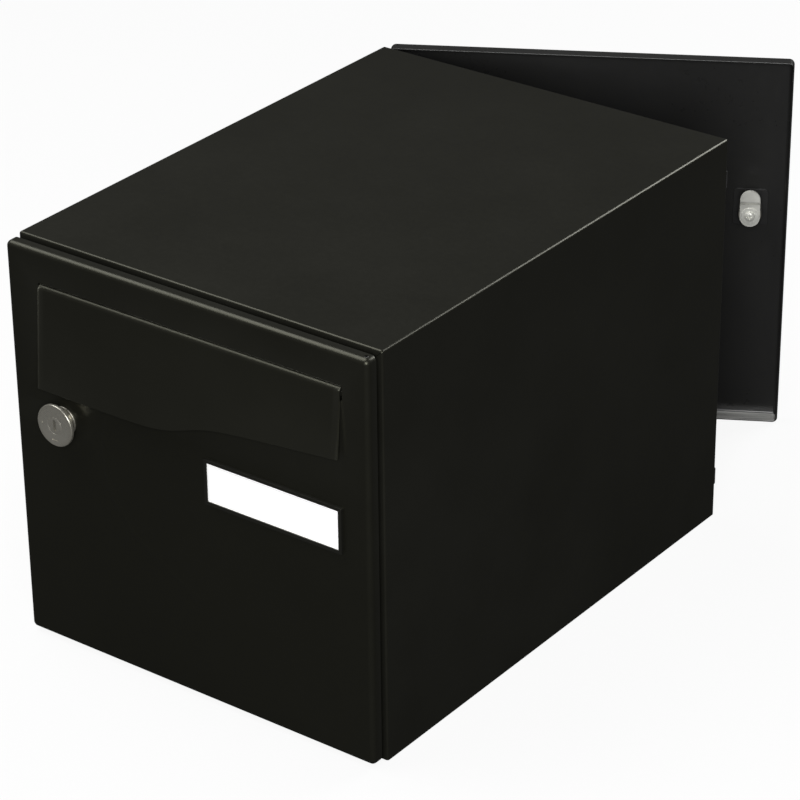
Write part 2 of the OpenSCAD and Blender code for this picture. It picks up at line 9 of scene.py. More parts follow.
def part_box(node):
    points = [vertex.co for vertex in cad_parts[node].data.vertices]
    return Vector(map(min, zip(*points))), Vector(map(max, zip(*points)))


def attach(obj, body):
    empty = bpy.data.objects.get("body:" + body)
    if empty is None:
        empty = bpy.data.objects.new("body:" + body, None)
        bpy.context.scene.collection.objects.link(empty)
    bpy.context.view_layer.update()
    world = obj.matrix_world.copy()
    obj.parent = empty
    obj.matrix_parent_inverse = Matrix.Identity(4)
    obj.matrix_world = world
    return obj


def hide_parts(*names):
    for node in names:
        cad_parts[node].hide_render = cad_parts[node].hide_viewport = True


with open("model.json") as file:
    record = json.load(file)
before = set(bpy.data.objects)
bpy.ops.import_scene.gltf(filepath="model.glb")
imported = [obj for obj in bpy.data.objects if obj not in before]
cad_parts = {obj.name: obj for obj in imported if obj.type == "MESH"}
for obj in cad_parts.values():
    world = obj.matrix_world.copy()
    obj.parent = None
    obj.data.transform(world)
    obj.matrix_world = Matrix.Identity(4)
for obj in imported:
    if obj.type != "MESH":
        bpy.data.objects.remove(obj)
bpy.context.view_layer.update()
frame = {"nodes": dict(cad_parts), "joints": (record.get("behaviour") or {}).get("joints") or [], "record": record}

# ---- Casing ----
# One steel sheet folded into a top and two sides, with narrow flanges folded inwards round both
# open ends and mitred at the top corners. It is powder coated in satin black after folding.

SHEET = 0.0012
CUT_EDGE = 0.0003
END_BEND = 0.0016
TOP_BEND = 0.002
MITRE = 0.0004


def filleted(corners, radii, steps=5):
    """A closed outline with each corner rounded to its own radius."""
    points = []
    for i, (corner, radius) in enumerate(zip(corners, radii)):
        here = Vector(corner)
        back = (Vector(corners[i - 1]) - here).normalized()
        on = (Vector(corners[(i + 1) % len(corners)]) - here).normalized()
        half = back.angle(on) / 2
        centre = here + (back + on).normalized() * radius / math.sin(half)
        start = here + back * radius / math.tan(half) - centre
        turn = math.copysign(math.pi - 2 * half, on.cross(back))
        for k in range(steps + 1):
            points.append(centre + Matrix.Rotation(turn * k / steps, 2) @ start)
    return points


def corner_arc(centre, radius, start, steps=6):
    """Points of a quarter circle, anticlockwise from a start angle in quarter turns."""
    angles = [(start + k / steps) * math.pi / 2 for k in range(steps + 1)]
    return [(centre[0] + radius * math.cos(a), centre[1] + radius * math.sin(a)) for a in angles]


def rounded_frame(low, high, radius, first=0, last=4):
    """The path round a box's end, as a function of the inset; quarters start at the top right."""
    def path(inset):
        r = max(radius - inset, SHEET / 24)
        x0, z0, x1, z1 = (low.x + inset + r, low.z + inset + r, high.x - inset - r, high.z - inset - r)
        centres = [(x1, z1), (x0, z1), (x0, z0), (x1, z0)]
        return [p for quarter in range(first, last) for p in corner_arc(centres[quarter], r, quarter)]
    return path


def swept(path, profile, closed=True, ring=True):
    """Sweeps a profile of (inset, y) points along a path; a profile that isn't a ring gets end caps."""
    mesh = bmesh.new()
    columns = [[mesh.verts.new((x, y, z)) for x, z in path(inset)] for inset, y in profile]
    count = len(columns[0])
    pairs = list(zip(columns, columns[1:]))
    if ring:
        pairs.append((columns[-1], columns[0]))
    for a, b in pairs:
        for i in range(count if closed else count - 1):
            k = (i + 1) % count
            mesh.faces.new((a[i], a[k], b[k], b[i]))
    if not ring:
        mesh.faces.new(columns[0])
        mesh.faces.new(columns[-1])
    if not closed:
        mesh.faces.new([column[0] for column in columns])
        mesh.faces.new([column[-1] for column in columns])
    bmesh.ops.recalc_face_normals(mesh, faces=mesh.faces)
    return mesh


def moved(mesh, place):
    """The same mesh, put in place by a matrix."""
    bmesh.ops.transform(mesh, matrix=place, verts=mesh.verts)
    return mesh


def oblong(x, y):
    """The outline of an oblong from its half width and half height."""
    return [(-x, -y), (x, -y), (x, y), (-x, y)]


def quarter_turn(steps=6):
    """Angles from nothing to a quarter turn."""
    return [k * math.pi / 2 / steps for k in range(steps + 1)]


def extruded(outline, depth, place=Matrix.Identity(4)):
    """A solid of a closed 2D outline, with its thickness along Z, put in place by a matrix."""
    mesh = bmesh.new()
    low = [mesh.verts.new((x, y, 0)) for x, y in outline]
    high = [mesh.verts.new((x, y, depth)) for x, y in outline]
    mesh.faces.new(low)
    mesh.faces.new(high)
    for i in range(len(outline)):
        mesh.faces.new((low[i - 1], low[i], high[i], high[i - 1]))
    bmesh.ops.recalc_face_normals(moved(mesh, place), faces=mesh.faces)
    return mesh


def rounded_block(low, high, radius):
    """A block between two corners, with its four edges along Y rounded."""
    low, high = Vector(low), Vector(high)
    path = rounded_frame(low, high, radius)
    return swept(path, [(0, low.y), (0, high.y)], ring=False)


def linked(name, mesh):
    data = bpy.data.meshes.new(name)
    mesh.to_mesh(data)
    mesh.free()
    made = bpy.data.objects.new(name, data)
    bpy.context.scene.collection.objects.link(made)
    return made


def settle(made):
    """Turns an object's modifiers into plain mesh."""
    seen = made.evaluated_get(bpy.context.evaluated_depsgraph_get())
    data = bpy.data.meshes.new_from_object(seen)
    made.modifiers.clear()
    made.data = data
    return made


def joined(*meshes):
    """One mesh of several."""
    whole = bmesh.new()
    for mesh in meshes:
        part = bpy.data.meshes.new("part")
        mesh.to_mesh(part)
        mesh.free()
        whole.from_mesh(part)
        bpy.data.meshes.remove(part)
    return whole


def combined(mesh, tool, operation="DIFFERENCE"):
    """The difference or union of two meshes."""
    made, other = linked("work", mesh), linked("tool", tool)
    modifier = made.modifiers.new("combine", "BOOLEAN")
    modifier.object = other
    modifier.operation = operation
    modifier.solver = "EXACT"
    settle(made)
    result = bmesh.new()
    result.from_mesh(made.data)
    for old in (made, other):
        bpy.data.objects.remove(old)
    return result


def finish_edges(made, bevel):
    """Rounds an object's sharp edges and keeps its flat faces flat to the light."""
    if bevel:
        rounding = made.modifiers.new("rounding", "BEVEL")
        rounding.width = bevel
        rounding.segments = 2
        rounding.limit_method = "ANGLE"
        rounding.angle_limit = math.radians(48)
        settle(made)
    made.data.shade_smooth()
    made.data.set_sharp_from_angle(angle=math.radians(46))
    flat = made.modifiers.new("flat_faces", "WEIGHTED_NORMAL")
    flat.keep_sharp = True
    flat.weight = 80
    return settle(made)


def piece(node, mesh, material, body, bevel=CUT_EDGE):
    """A finished piece that stands for a node and moves with its body."""
    made = mesh if isinstance(mesh, bpy.types.Object) else linked(node + "_detail", mesh)
    finish_edges(made, bevel)
    made.data.materials.clear()
    made.data.materials.append(material)
    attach(made, body)
    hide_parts(node)
    return made


def node_group(name, kind, inputs, outputs):
    """A node group with named inputs and outputs, and its two end nodes."""
    group = bpy.data.node_groups.new(name, kind)
    for label, socket, value in inputs:
        made = group.interface.new_socket(label, in_out="INPUT", socket_type=socket)
        if value is not None:
            made.default_value = value
    for label, socket in outputs:
        group.interface.new_socket(label, in_out="OUTPUT", socket_type=socket)
    return group, group.nodes.new("NodeGroupInput"), group.nodes.new("NodeGroupOutput")


def set_input(tree, socket, value):
    """Links a socket's value, or sets it."""
    if isinstance(value, bpy.types.NodeSocket):
        tree.links.new(value, socket)
    else:
        socket.default_value = value


def link_all(tree, *pairs):
    for source, target in pairs:
        tree.links.new(source, target)


def calc(tree, operation, *values):
    """A Math node of a shader or geometry tree, and its result."""
    node = tree.nodes.new("ShaderNodeMath")
    node.operation = operation
    for socket, value in zip(node.inputs, values):
        set_input(tree, socket, value)
    return node.outputs[0]


def noise(tree, place, scale, detail, roughness=0.5):
    node = tree.nodes.new("ShaderNodeTexNoise")
    set_input(tree, node.inputs["Vector"], place)
    set_input(tree, node.inputs["Scale"], scale)
    node.inputs["Detail"].default_value = detail
    node.inputs["Roughness"].default_value = roughness
    return node.outputs["Fac"]


def remap(tree, value, low, high, to_low, to_high):
    node = tree.nodes.new("ShaderNodeMapRange")
    for socket, given in zip(node.inputs, (value, low, high, to_low, to_high)):
        set_input(tree, socket, given)
    return node.outputs["Result"]


def blend(tree, factor, first, second):
    node = tree.nodes.new("ShaderNodeMix")
    node.data_type = "RGBA"
    set_input(tree, node.inputs["Factor"], factor)
    set_input(tree, node.inputs["A"], first)
    set_input(tree, node.inputs["B"], second)
    return node.outputs["Result"]


def finish_group():
    """What every finish here has: a fine grain, slow drifts of tone and gloss, and rubbed edges."""
    group, start, end = node_group("surface_finish", "ShaderNodeTree", [
        ("Vector", "NodeSocketVector", None),
        ("Colour", "NodeSocketColor", (0.5, 0.5, 0.5, 1)),
        ("Edge Colour", "NodeSocketColor", (0.5, 0.5, 0.5, 1)),
        ("Roughness", "NodeSocketFloat", 0.4),
        ("Gloss Drift", "NodeSocketFloat", 0.05),
        ("Tone Drift", "NodeSocketFloat", 0.1),
        ("Grain Scale", "NodeSocketFloat", 900.0),
        ("Edge Wear", "NodeSocketFloat", 0.3),
    ], [("Colour", "NodeSocketColor"), ("Roughness", "NodeSocketFloat"), ("Height", "NodeSocketFloat")])
    place = start.outputs["Vector"]
    fine = noise(group, place, start.outputs["Grain Scale"], 3)
    broad = noise(group, place, 11.0, 3, 0.6)
    specks = noise(group, place, calc(group, "MULTIPLY", start.outputs["Grain Scale"], 0.31), 2)
    geometry = group.nodes.new("ShaderNodeNewGeometry")
    edge = remap(group, geometry.outputs["Pointiness"], 0.505, 0.56, 0.0, 1.0)
    rubbed = calc(group, "MULTIPLY", edge,
                  calc(group, "MULTIPLY", start.outputs["Edge Wear"],
                       remap(group, broad, 0.3, 0.7, 0.4, 1.0)))
    drift = calc(group, "MULTIPLY", start.outputs["Tone Drift"],
                 calc(group, "ADD", broad, remap(group, fine, 0.0, 1.0, -0.6, -0.4)))
    tone = group.nodes.new("ShaderNodeHueSaturation")
    set_input(group, tone.inputs["Color"], start.outputs["Colour"])
    set_input(group, tone.inputs["Value"], calc(group, "ADD", 1.0, drift))
    colour = blend(group, rubbed, tone.outputs["Color"], start.outputs["Edge Colour"])
    group.links.new(colour, end.inputs["Colour"])
    gloss = calc(group, "MULTIPLY", start.outputs["Gloss Drift"],
                 remap(group, calc(group, "ADD", broad, specks), 0.6, 1.4, -1.0, 1.0))
    group.links.new(calc(group, "ADD", start.outputs["Roughness"], gloss),
                    end.inputs["Roughness"])
    group.links.new(calc(group, "ADD", fine, specks), end.inputs["Height"])
    return group


SURFACE_FINISH = finish_group()


def finish(name, colour, edge, roughness, grain, depth, wear=0.3, gloss_drift=0.04, tone_drift=0.12,
           metal=0.0, stretch=(1, 1, 1), centre=(0, 0, 0), turn=0.0, gloss_tint=(1, 1, 1)):
    """A material with the shared surface finish; stretch and centre lay out its grain on a piece."""
    material = bpy.data.materials.new(name)
    material.use_nodes = True
    tree = material.node_tree
    shader = tree.nodes["Principled BSDF"]
    shader.inputs["Metallic"].default_value = metal
    shader.inputs["Specular Tint"].default_value = (*gloss_tint, 1)
    place = tree.nodes.new("ShaderNodeTexCoord")
    layout = tree.nodes.new("ShaderNodeMapping")
    layout.vector_type = "TEXTURE"
    layout.inputs["Location"].default_value = centre
    layout.inputs["Rotation"].default_value = (0, 0, turn)
    layout.inputs["Scale"].default_value = stretch
    tree.links.new(place.outputs["Object"], layout.inputs["Vector"])
    surface = tree.nodes.new("ShaderNodeGroup")
    surface.node_tree = SURFACE_FINISH
    tree.links.new(layout.outputs["Vector"], surface.inputs["Vector"])
    given = {"Colour": (*colour, 1), "Edge Colour": (*edge, 1), "Roughness": roughness,
             "Gloss Drift": gloss_drift, "Tone Drift": tone_drift, "Grain Scale": grain, "Edge Wear": wear}
    for label, value in given.items():
        surface.inputs[label].default_value = value
    relief = tree.nodes.new("ShaderNodeBump")
    relief.inputs["Strength"].default_value = 1.0
    relief.inputs["Distance"].default_value = depth
    link_all(tree, (surface.outputs["Height"], relief.inputs["Height"]),
             (surface.outputs["Colour"], shader.inputs["Base Color"]),
             (surface.outputs["Roughness"], shader.inputs["Roughness"]),
             (relief.outputs["Normal"], shader.inputs["Normal"]))
    return material


OLIVE = (0.8, 0.8, 0.62)
body_paint = finish("body_powder_coat", (0.0074, 0.0074, 0.0055), (0.022, 0.022, 0.019), 0.33, 700.0, 0.00001,
                    gloss_tint=OLIVE)


def folded_flanges(inset, y0, y1):
    """Profile of a wall between two ends with a flange folded inwards at each."""
    corners = [(inset, y0), (0, y0), (0, y1), (inset, y1),
               (inset, y1 - SHEET), (SHEET, y1 - SHEET), (SHEET, y0 + SHEET), (inset, y0 + SHEET)]
    inner = END_BEND - SHEET
    return filleted(corners, [CUT_EDGE, END_BEND, END_BEND, CUT_EDGE, CUT_EDGE, inner, inner, CUT_EDGE])


def mitre_slits(low, high, inner, outer, y0, y1, quarters):
    """Thin cutters on the diagonals of a flange's corners, from its inner edge to its fold."""
    cutters = []
    for quarter in quarters:
        side, level = [(1, 1), (-1, 1), (-1, -1), (1, -1)][quarter]
        corner = Vector((high.x if side > 0 else low.x, 0, high.z if level > 0 else low.z))
        middle = (inner + outer) / 2
        centre = corner - Vector((side * middle, 0, level * middle))
        turn = Matrix.Rotation(math.radians(-45) * side * level, 4, "Y")
        long = (inner - outer) * math.sqrt(0.5)
        block = rounded_block((-long, y0, -MITRE / 2), (long, y1, MITRE / 2), MITRE / 2)
        cutters.append(moved(block, Matrix.Translation(centre) @ turn))
    return joined(*cutters)


casing_low, casing_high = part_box("casing")
END_FLANGE = 0.0105
casing_end_path = rounded_frame(casing_low, casing_high, TOP_BEND, 0, 2)


def casing_path(inset):
    """Up the right side, over the top and down the left side."""
    return ([(casing_high.x - inset, casing_low.z)] + casing_end_path(inset)
            + [(casing_low.x + inset, casing_low.z)])


casing_mesh = swept(casing_path, folded_flanges(END_FLANGE, casing_low.y, casing_high.y), closed=False)
for flange_y in (casing_low.y, casing_high.y - SHEET):
    slits = mitre_slits(casing_low, casing_high, END_FLANGE + MITRE, END_BEND, flange_y - SHEET,
                        flange_y + 2 * SHEET, (0, 1))
    casing_mesh = combined(casing_mesh, slits)
piece("casing", casing_mesh, body_paint, "root", bevel=0)

# ---- Base plate ----
# A folded steel plate that closes the casing from below: upstands at both ends, a flange along
# each side wall, and four holes for the bolts that fix the box down.


def turned(profile, place=Matrix.Identity(4), ring=False, steps=48):
    """A solid of revolution about Z from (radius, height) points; a ring's profile is closed."""
    mesh = bmesh.new()
    rows = []
    for radius, height in profile:
        if radius == 0:
            rows.append([mesh.verts.new((0, 0, height))] * steps)
        else:
            angles = [2 * math.pi * i / steps for i in range(steps)]
            rows.append([mesh.verts.new((radius * math.cos(a), radius * math.sin(a), height))
                         for a in angles])
    pairs = list(zip(rows, rows[1:]))
    if ring:
        pairs.append((rows[-1], rows[0]))
    for a, b in pairs:
        for i in range(steps):
            k = (i + 1) % steps
            mesh.faces.new(dict.fromkeys((a[i], a[k], b[k], b[i])))
    bmesh.ops.recalc_face_normals(moved(mesh, place), faces=mesh.faces)
    return mesh


def drill(centre, radius, depth, axis_turn=Matrix.Identity(4)):
    """A cylinder that cuts a hole right through, centred on a point."""
    place = Matrix.Translation(centre) @ axis_turn
    return turned([(0, -depth), (radius, -depth), (radius, depth), (0, depth)], place, steps=40)


def gutter(half_width, height, bottom):
    """Outline of a sheet with both edges folded up."""
    top = bottom + height
    inner = half_width - SHEET
    corners = [(-half_width, bottom), (half_width, bottom), (half_width, top), (inner, top),
               (inner, bottom + SHEET), (-inner, bottom + SHEET), (-inner, top), (-half_width, top)]
    bend, tight = END_BEND, END_BEND - SHEET
    return filleted(corners, [bend, bend, CUT_EDGE, CUT_EDGE, tight, tight, CUT_EDGE, CUT_EDGE])


base_low, base_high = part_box("base_plate")
SIDE_UPSTAND = 0.012
SIDE_UPSTAND_END = 0.036
plate_x = base_high.x
end_x = casing_high.x - END_FLANGE
ACROSS = Matrix(((0, 0, 1, 0), (1, 0, 0, 0), (0, 1, 0, 0), (0, 0, 0, 1)))
along_x = Matrix.Translation((-end_x, 0, 0)) @ ACROSS
side_y = base_high.y - SIDE_UPSTAND_END
along_y = Matrix.Translation((0, side_y, 0)) @ Matrix.Rotation(math.pi / 2, 4, "X")
plate = rounded_block((-plate_x, base_low.y + SHEET, 0), (plate_x, base_high.y - SHEET, SHEET), CUT_EDGE)
plate = combined(plate, extruded(gutter(base_high.y, END_FLANGE, 0), 2 * end_x, along_x), "UNION")
plate = combined(plate, extruded(gutter(plate_x, SIDE_UPSTAND, 0), 2 * side_y, along_y), "UNION")
bolts = next(mount for mount in frame["record"]["mounts"] if mount["name"] == "base_bolts")["dims"]
for side in (-1, 1):
    for end in (-1, 1):
        spot = (side * bolts["spacing_x_mm"] / 2000, end * bolts["spacing_y_mm"] / 2000, SHEET / 2)
        plate = combined(plate, drill(spot, bolts["hole_r_mm"] / 1000, 3 * SHEET))
piece("base_plate", plate, body_paint, "root")

# ---- Door frames ----
# Folded frames spot-welded inside the casing's ends. The front one is a neck that the door closes
# over, with a flat stop welded to its rim; the rear one is an angle with a wide stop flange.

neck_low, neck_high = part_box("front_neck")
stop_low, stop_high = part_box("front_stop")
FRONT_STOP = 0.0125
neck_in = END_FLANGE
stop_in = END_FLANGE + FRONT_STOP
tight = END_BEND - SHEET
foot_y = neck_high.y - SHEET
neck_profile = filleted(
    [(SHEET, foot_y), (neck_in, foot_y), (neck_in, neck_low.y), (neck_in + SHEET, neck_low.y),
     (neck_in + SHEET, neck_high.y), (SHEET, neck_high.y)],
    [CUT_EDGE, tight, CUT_EDGE, CUT_EDGE, END_BEND, CUT_EDGE])
frame_path = rounded_frame(casing_low, casing_high, TOP_BEND)
piece("front_neck", swept(frame_path, neck_profile), body_paint, "root", bevel=0)

stop_profile = filleted(
    [(neck_in, stop_low.y), (stop_in, stop_low.y), (stop_in, stop_high.y), (neck_in, stop_high.y)],
    [CUT_EDGE * 2, CUT_EDGE, CUT_EDGE, CUT_EDGE])
stop_slits = mitre_slits(casing_low, casing_high, stop_in + MITRE, neck_in + END_BEND,
                         stop_low.y - SHEET, stop_high.y + SHEET, range(4))
piece("front_stop", combined(swept(frame_path, stop_profile), stop_slits), body_paint, "root", bevel=0)

rear_low, rear_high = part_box("rear_frame")
REAR_STOP = 0.017
stop_in = SHEET + REAR_STOP
rear_profile = filleted(
    [(SHEET, rear_low.y), (SHEET, rear_high.y), (stop_in, rear_high.y), (stop_in, rear_high.y - SHEET),
     (2 * SHEET, rear_high.y - SHEET), (2 * SHEET, rear_low.y)],
    [CUT_EDGE, END_BEND, CUT_EDGE, CUT_EDGE, tight, CUT_EDGE])
rear_frame = swept(frame_path, rear_profile)
rear_slits = mitre_slits(casing_low, casing_high, stop_in + MITRE, SHEET + END_BEND,
                         rear_high.y - 2 * SHEET, rear_high.y + SHEET, range(4))
piece("rear_frame", combined(rear_frame, rear_slits), body_paint, "root", bevel=0)

# ---- Hinge lugs ----
# Flat steel lugs, two at each end, welded to the frames' stop flanges and painted with them.
# Each has an eye on the hinge line and a leg that reaches back to the frame.


def row_tree():
    """Geometry nodes that repeat a modelled part along a straight row."""
    group, start, end = node_group("row_of_parts", "GeometryNodeTree", [
        ("Part", "NodeSocketGeometry", None), ("Count", "NodeSocketInt", 2),
        ("Start", "NodeSocketVector", (0, 0, 0)), ("Step", "NodeSocketVector", (0, 0, 0)),
        ("Finish", "NodeSocketMaterial", None),
    ], [("Parts", "NodeSocketGeometry")])
    line = group.nodes.new("GeometryNodeMeshLine")
    copies = group.nodes.new("GeometryNodeInstanceOnPoints")
    solid = group.nodes.new("GeometryNodeRealizeInstances")
    coat = group.nodes.new("GeometryNodeSetMaterial")
    link_all(group, (start.outputs["Count"], line.inputs["Count"]),
             (start.outputs["Start"], line.inputs["Start Location"]),
             (start.outputs["Step"], line.inputs["Offset"]),
             (line.outputs["Mesh"], copies.inputs["Points"]),
             (start.outputs["Part"], copies.inputs["Instance"]),
             (copies.outputs["Instances"], solid.inputs["Geometry"]),
             (solid.outputs["Geometry"], coat.inputs["Geometry"]),
             (start.outputs["Finish"], coat.inputs["Material"]),
             (coat.outputs["Geometry"], end.inputs["Parts"]))
    return group


ROW = row_tree()


def with_tree(made, tree, given):
    """Runs a geometry node tree on an object with the given inputs, and keeps the plain mesh."""
    modifier = made.modifiers.new("tree", "NODES")
    modifier.node_group = tree
    names = {item.name: item.identifier for item in tree.interface.items_tree
             if item.item_type == "SOCKET" and item.in_out == "INPUT"}
    for label, value in given.items():
        modifier[names[label]] = value
    return settle(made)


def row_of(node, part, material, count, start, step, bevel=CUT_EDGE):
    """A row of one modelled part, as one object."""
    made = finish_edges(linked(node + "_detail", part), bevel)
    return with_tree(made, ROW, {"Count": count, "Start": tuple(start), "Step": tuple(step),
                                 "Finish": material})


def joint_named(name):
    return next(joint for joint in frame["joints"] if joint["name"] == name)


def joint_origin(name):
    return Vector(joint_named(name)["pos_m"])


LUG = 0.0025
LUG_LEG = 0.007
ARM_BACK = 0.001
LUG_WALL = 0.00125
half_round = Matrix.Rotation(math.pi, 4, "Z")


def hinge_lugs(node, hinge, end_turn):
    """Both lugs of one end, drawn for the front end and turned to their own."""
    low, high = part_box(node)
    hinge = end_turn @ hinge
    corners = [end_turn @ low, end_turn @ high]
    left = min(c.x for c in corners) - hinge.x
    back = max(c.y for c in corners) - hinge.y
    eye = hinge.y - min(c.y for c in corners)
    bore = eye - LUG_WALL
    rise = math.asin(ARM_BACK / eye)
    angles = [-math.pi / 2 + (1.5 * math.pi - rise) * k / 20 for k in range(21)]
    outline = [(eye * math.cos(a), eye * math.sin(a)) for a in angles]
    outline += [(left + LUG_LEG, ARM_BACK), (left + LUG_LEG, back), (left, back), (left, -eye)]
    lug = extruded(outline, LUG)
    lug = moved(combined(lug, drill((0, 0, 0), bore, 2 * LUG)),
                end_turn @ Matrix.Translation((hinge.x, hinge.y, 0)))
    made = row_of(node, lug, body_paint, 2, (0, 0, low.z), (0, 0, high.z - low.z - LUG))
    piece(node, made, body_paint, "root", bevel=0)


front_hinge = joint_origin("front_door_hinge")
rear_hinge = joint_origin("rear_door_hinge")
hinge_lugs("front_hinge_lugs", front_hinge, Matrix.Identity(4))
hinge_lugs("rear_hinge_lugs", rear_hinge, half_round)

# ---- Door buffers ----
# Black rubber pads stuck on the casing's end flanges, two behind each door's free edge. They are
# moulded with a soft crown and round edges.

rubber = finish("black_rubber", (0.016, 0.016, 0.016), (0.05, 0.05, 0.05), 0.72, 2600.0, 0.00003, wear=0.5)
PAD_HEIGHT = 0.014


def buffer_pads(node, away):
    """Two pads whose crowns face away from the casing."""
    low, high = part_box(node)
    thick = high.y - low.y
    width = high.x - low.x
    path = rounded_frame(Vector((-width / 2, 0, 0)), Vector((width / 2, 0, PAD_HEIGHT)), width / 5)
    rise = [(0, 0), (0, 0.55), (0.08, 0.75), (0.2, 0.9), (0.34, 1)]
    base_y = high.y if away < 0 else low.y
    pad = swept(path, [(inset * width, base_y + away * thick * share) for inset, share in rise], ring=False)
    middle = (low.x + high.x) / 2
    made = row_of(node, pad, rubber, 2, (middle, 0, low.z), (0, 0, high.z - low.z - PAD_HEIGHT), bevel=0)
    piece(node, made, rubber, "root", bevel=0)


buffer_pads("front_door_buffers", -1)
buffer_pads("rear_door_buffers", 1)

# ---- Front door ----
# A shallow pan of steel sheet with rounded front edges and ball corners. A shallow bead is
# pressed into its face; the mail slot and the lock's hole are punched.

door_paint = finish("door_powder_coat", (0.0075, 0.0075, 0.0056), (0.022, 0.022, 0.019), 0.33, 640.0, 0.00001,
                    gloss_tint=OLIVE)
DOOR_BEND = 0.004
BEAD_HEIGHT = 0.0003
BEAD_WIDTH = 0.0021
BEAD_CENTRE = Vector((0.0035, 0.165))
BEAD_RADIUS = 0.075
BEAD_START = math.radians(160)
BEAD_TURN = math.radians(232)
BEAD_END = Vector((0.004, 0.079))
BEAD_GRID = 0.0012
BEAD_GRID_LOW = Vector((-0.082, 0.07))
BEAD_GRID_HIGH = Vector((0.014, 0.198))


def door_pan(low, high, depth):
    """A door's pan between two corners of its box, its folded edge of the given depth."""
    inner = DOOR_BEND - SHEET
    y = low.y
    outside = [(DOOR_BEND * (1 - math.sin(a)), y + DOOR_BEND * (1 - math.cos(a))) for a in quarter_turn()]
    lip = [(0, y + depth - CUT_EDGE), (CUT_EDGE, y + depth), (SHEET - CUT_EDGE, y + depth),
           (SHEET, y + depth - CUT_EDGE)]
    inside = [(SHEET + inner * (1 - math.sin(a)), y + SHEET + inner * (1 - math.cos(a)))
              for a in reversed(quarter_turn())]
    path = rounded_frame(low, high, DOOR_BEND)
    return swept(path, outside + lip + inside, ring=False)


def bead_height(x, z):
    """How far the pressed bead stands out at a place on the door."""
    place = Vector((x, z))
    turn_end = BEAD_CENTRE + BEAD_RADIUS * Vector((math.cos(BEAD_TURN), math.sin(BEAD_TURN)))
    line = BEAD_END - turn_end
    along = (place - turn_end).dot(line) / line.length_squared
    angle = math.atan2(z - BEAD_CENTRE.y, x - BEAD_CENTRE.x) % (2 * math.pi)
    if along > 0:
        away = (place - turn_end - line * min(along, 1)).length
    elif BEAD_START < angle <= BEAD_TURN + 0.1:
        away = abs((place - BEAD_CENTRE).length - BEAD_RADIUS)
    else:
        start = BEAD_CENTRE + BEAD_RADIUS * Vector((math.cos(BEAD_START), math.sin(BEAD_START)))
        away = (place - start).length
    return BEAD_HEIGHT * math.exp(-(away / BEAD_WIDTH) ** 2)


def spaced(low, high, step):
    count = max(1, round((high - low) / step))
    return [low + (high - low) * i / count for i in range(count + 1)]


door_low, door_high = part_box("front_door_panel")
face_y = door_low.y
front_pan = door_pan(door_low, door_high, door_high.y - door_low.y)
bead_x = spaced(BEAD_GRID_LOW.x, BEAD_GRID_HIGH.x, BEAD_GRID)
bead_z = spaced(BEAD_GRID_LOW.y, BEAD_GRID_HIGH.y, BEAD_GRID)
for axis, places in ((Vector((1, 0, 0)), bead_x), (Vector((0, 0, 1)), bead_z)):
    for place in places:
        whole = front_pan.verts[:] + front_pan.edges[:] + front_pan.faces[:]
        bmesh.ops.bisect_plane(front_pan, geom=whole, plane_co=axis * place, plane_no=axis)
for vertex in front_pan.verts:
    if vertex.co.y < face_y + 1.5 * SHEET:
        vertex.co.y -= bead_height(vertex.co.x, vertex.co.z)

flap_axis = joint_origin("mail_flap_hinge")
flap_low, flap_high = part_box("mail_flap")
front_lock = joint_origin("front_lock_turn")
SLOT_LOW = 0.232
SLOT_HIGH = 0.265
FLAP_GAP = 0.001
SLOT_IN = 0.009
RECESS_RISE = 0.0053
SLOT_CORNER = 0.0015
LOCK_HOLE = 0.0086
facing = Matrix.Rotation(-math.pi / 2, 4, "X")
slot = rounded_block((flap_low.x + SLOT_IN, face_y - SHEET, SLOT_LOW),
                     (flap_high.x - SLOT_IN, face_y + 2 * SHEET, SLOT_HIGH + SHEET), SLOT_CORNER)
recess = rounded_block((flap_low.x - FLAP_GAP, face_y - SHEET, SLOT_HIGH),
                       (flap_high.x + FLAP_GAP, face_y + 2 * SHEET, flap_axis.z + RECESS_RISE), SLOT_CORNER)
front_pan = combined(front_pan, combined(slot, recess, "UNION"))
front_pan = combined(front_pan, drill((front_lock.x, face_y, front_lock.z), LOCK_HOLE, 2 * SHEET, facing))
piece("front_door_panel", front_pan, door_paint, "front_door", bevel=0)

# ---- Hinge pins ----
# Bright drawn steel pins pressed into the doors' top and bottom flanges. Each has a collar that
# stops short of the lug and a thin end, chamfered, that runs in the lug's eye.

pin_steel = finish("drawn_steel", (0.55, 0.55, 0.53), (0.7, 0.7, 0.68), 0.28, 1800.0, 0.000006, metal=1.0,
                   stretch=(1, 1, 12))
PIN_RADIUS = 0.0015
PIN_COLLAR = 0.0025
PIN_END = 0.0165
COLLAR_END = 0.01235


def door_turn():
    """Takes a piece drawn for the closed front end to the rear door as it stands at rest."""
    hinge = half_round @ rear_hinge
    return (half_round @ Matrix.Translation(hinge) @ Matrix.Rotation(rear_opened, 4, "Z")
            @ Matrix.Translation(-hinge))


rear_opened = -math.radians(joint_named("rear_door_hinge")["range_deg"][0])
at_rear_door = door_turn()


def hinge_pin(gap):
    """A pin's solid from the door's edge, at a gap from the casing's end, to its chamfered tip."""
    chamfer = PIN_RADIUS / 4
    root = gap + DOOR_BEND
    profile = [(0, gap), (PIN_RADIUS, gap), (PIN_RADIUS, root), (PIN_COLLAR - chamfer, root),
               (PIN_COLLAR, root + chamfer), (PIN_COLLAR, COLLAR_END - chamfer),
               (PIN_COLLAR - chamfer, COLLAR_END), (PIN_RADIUS, COLLAR_END),
               (PIN_RADIUS, PIN_END - 2 * chamfer), (PIN_RADIUS - chamfer, PIN_END), (0, PIN_END)]
    return turned(profile, steps=32)


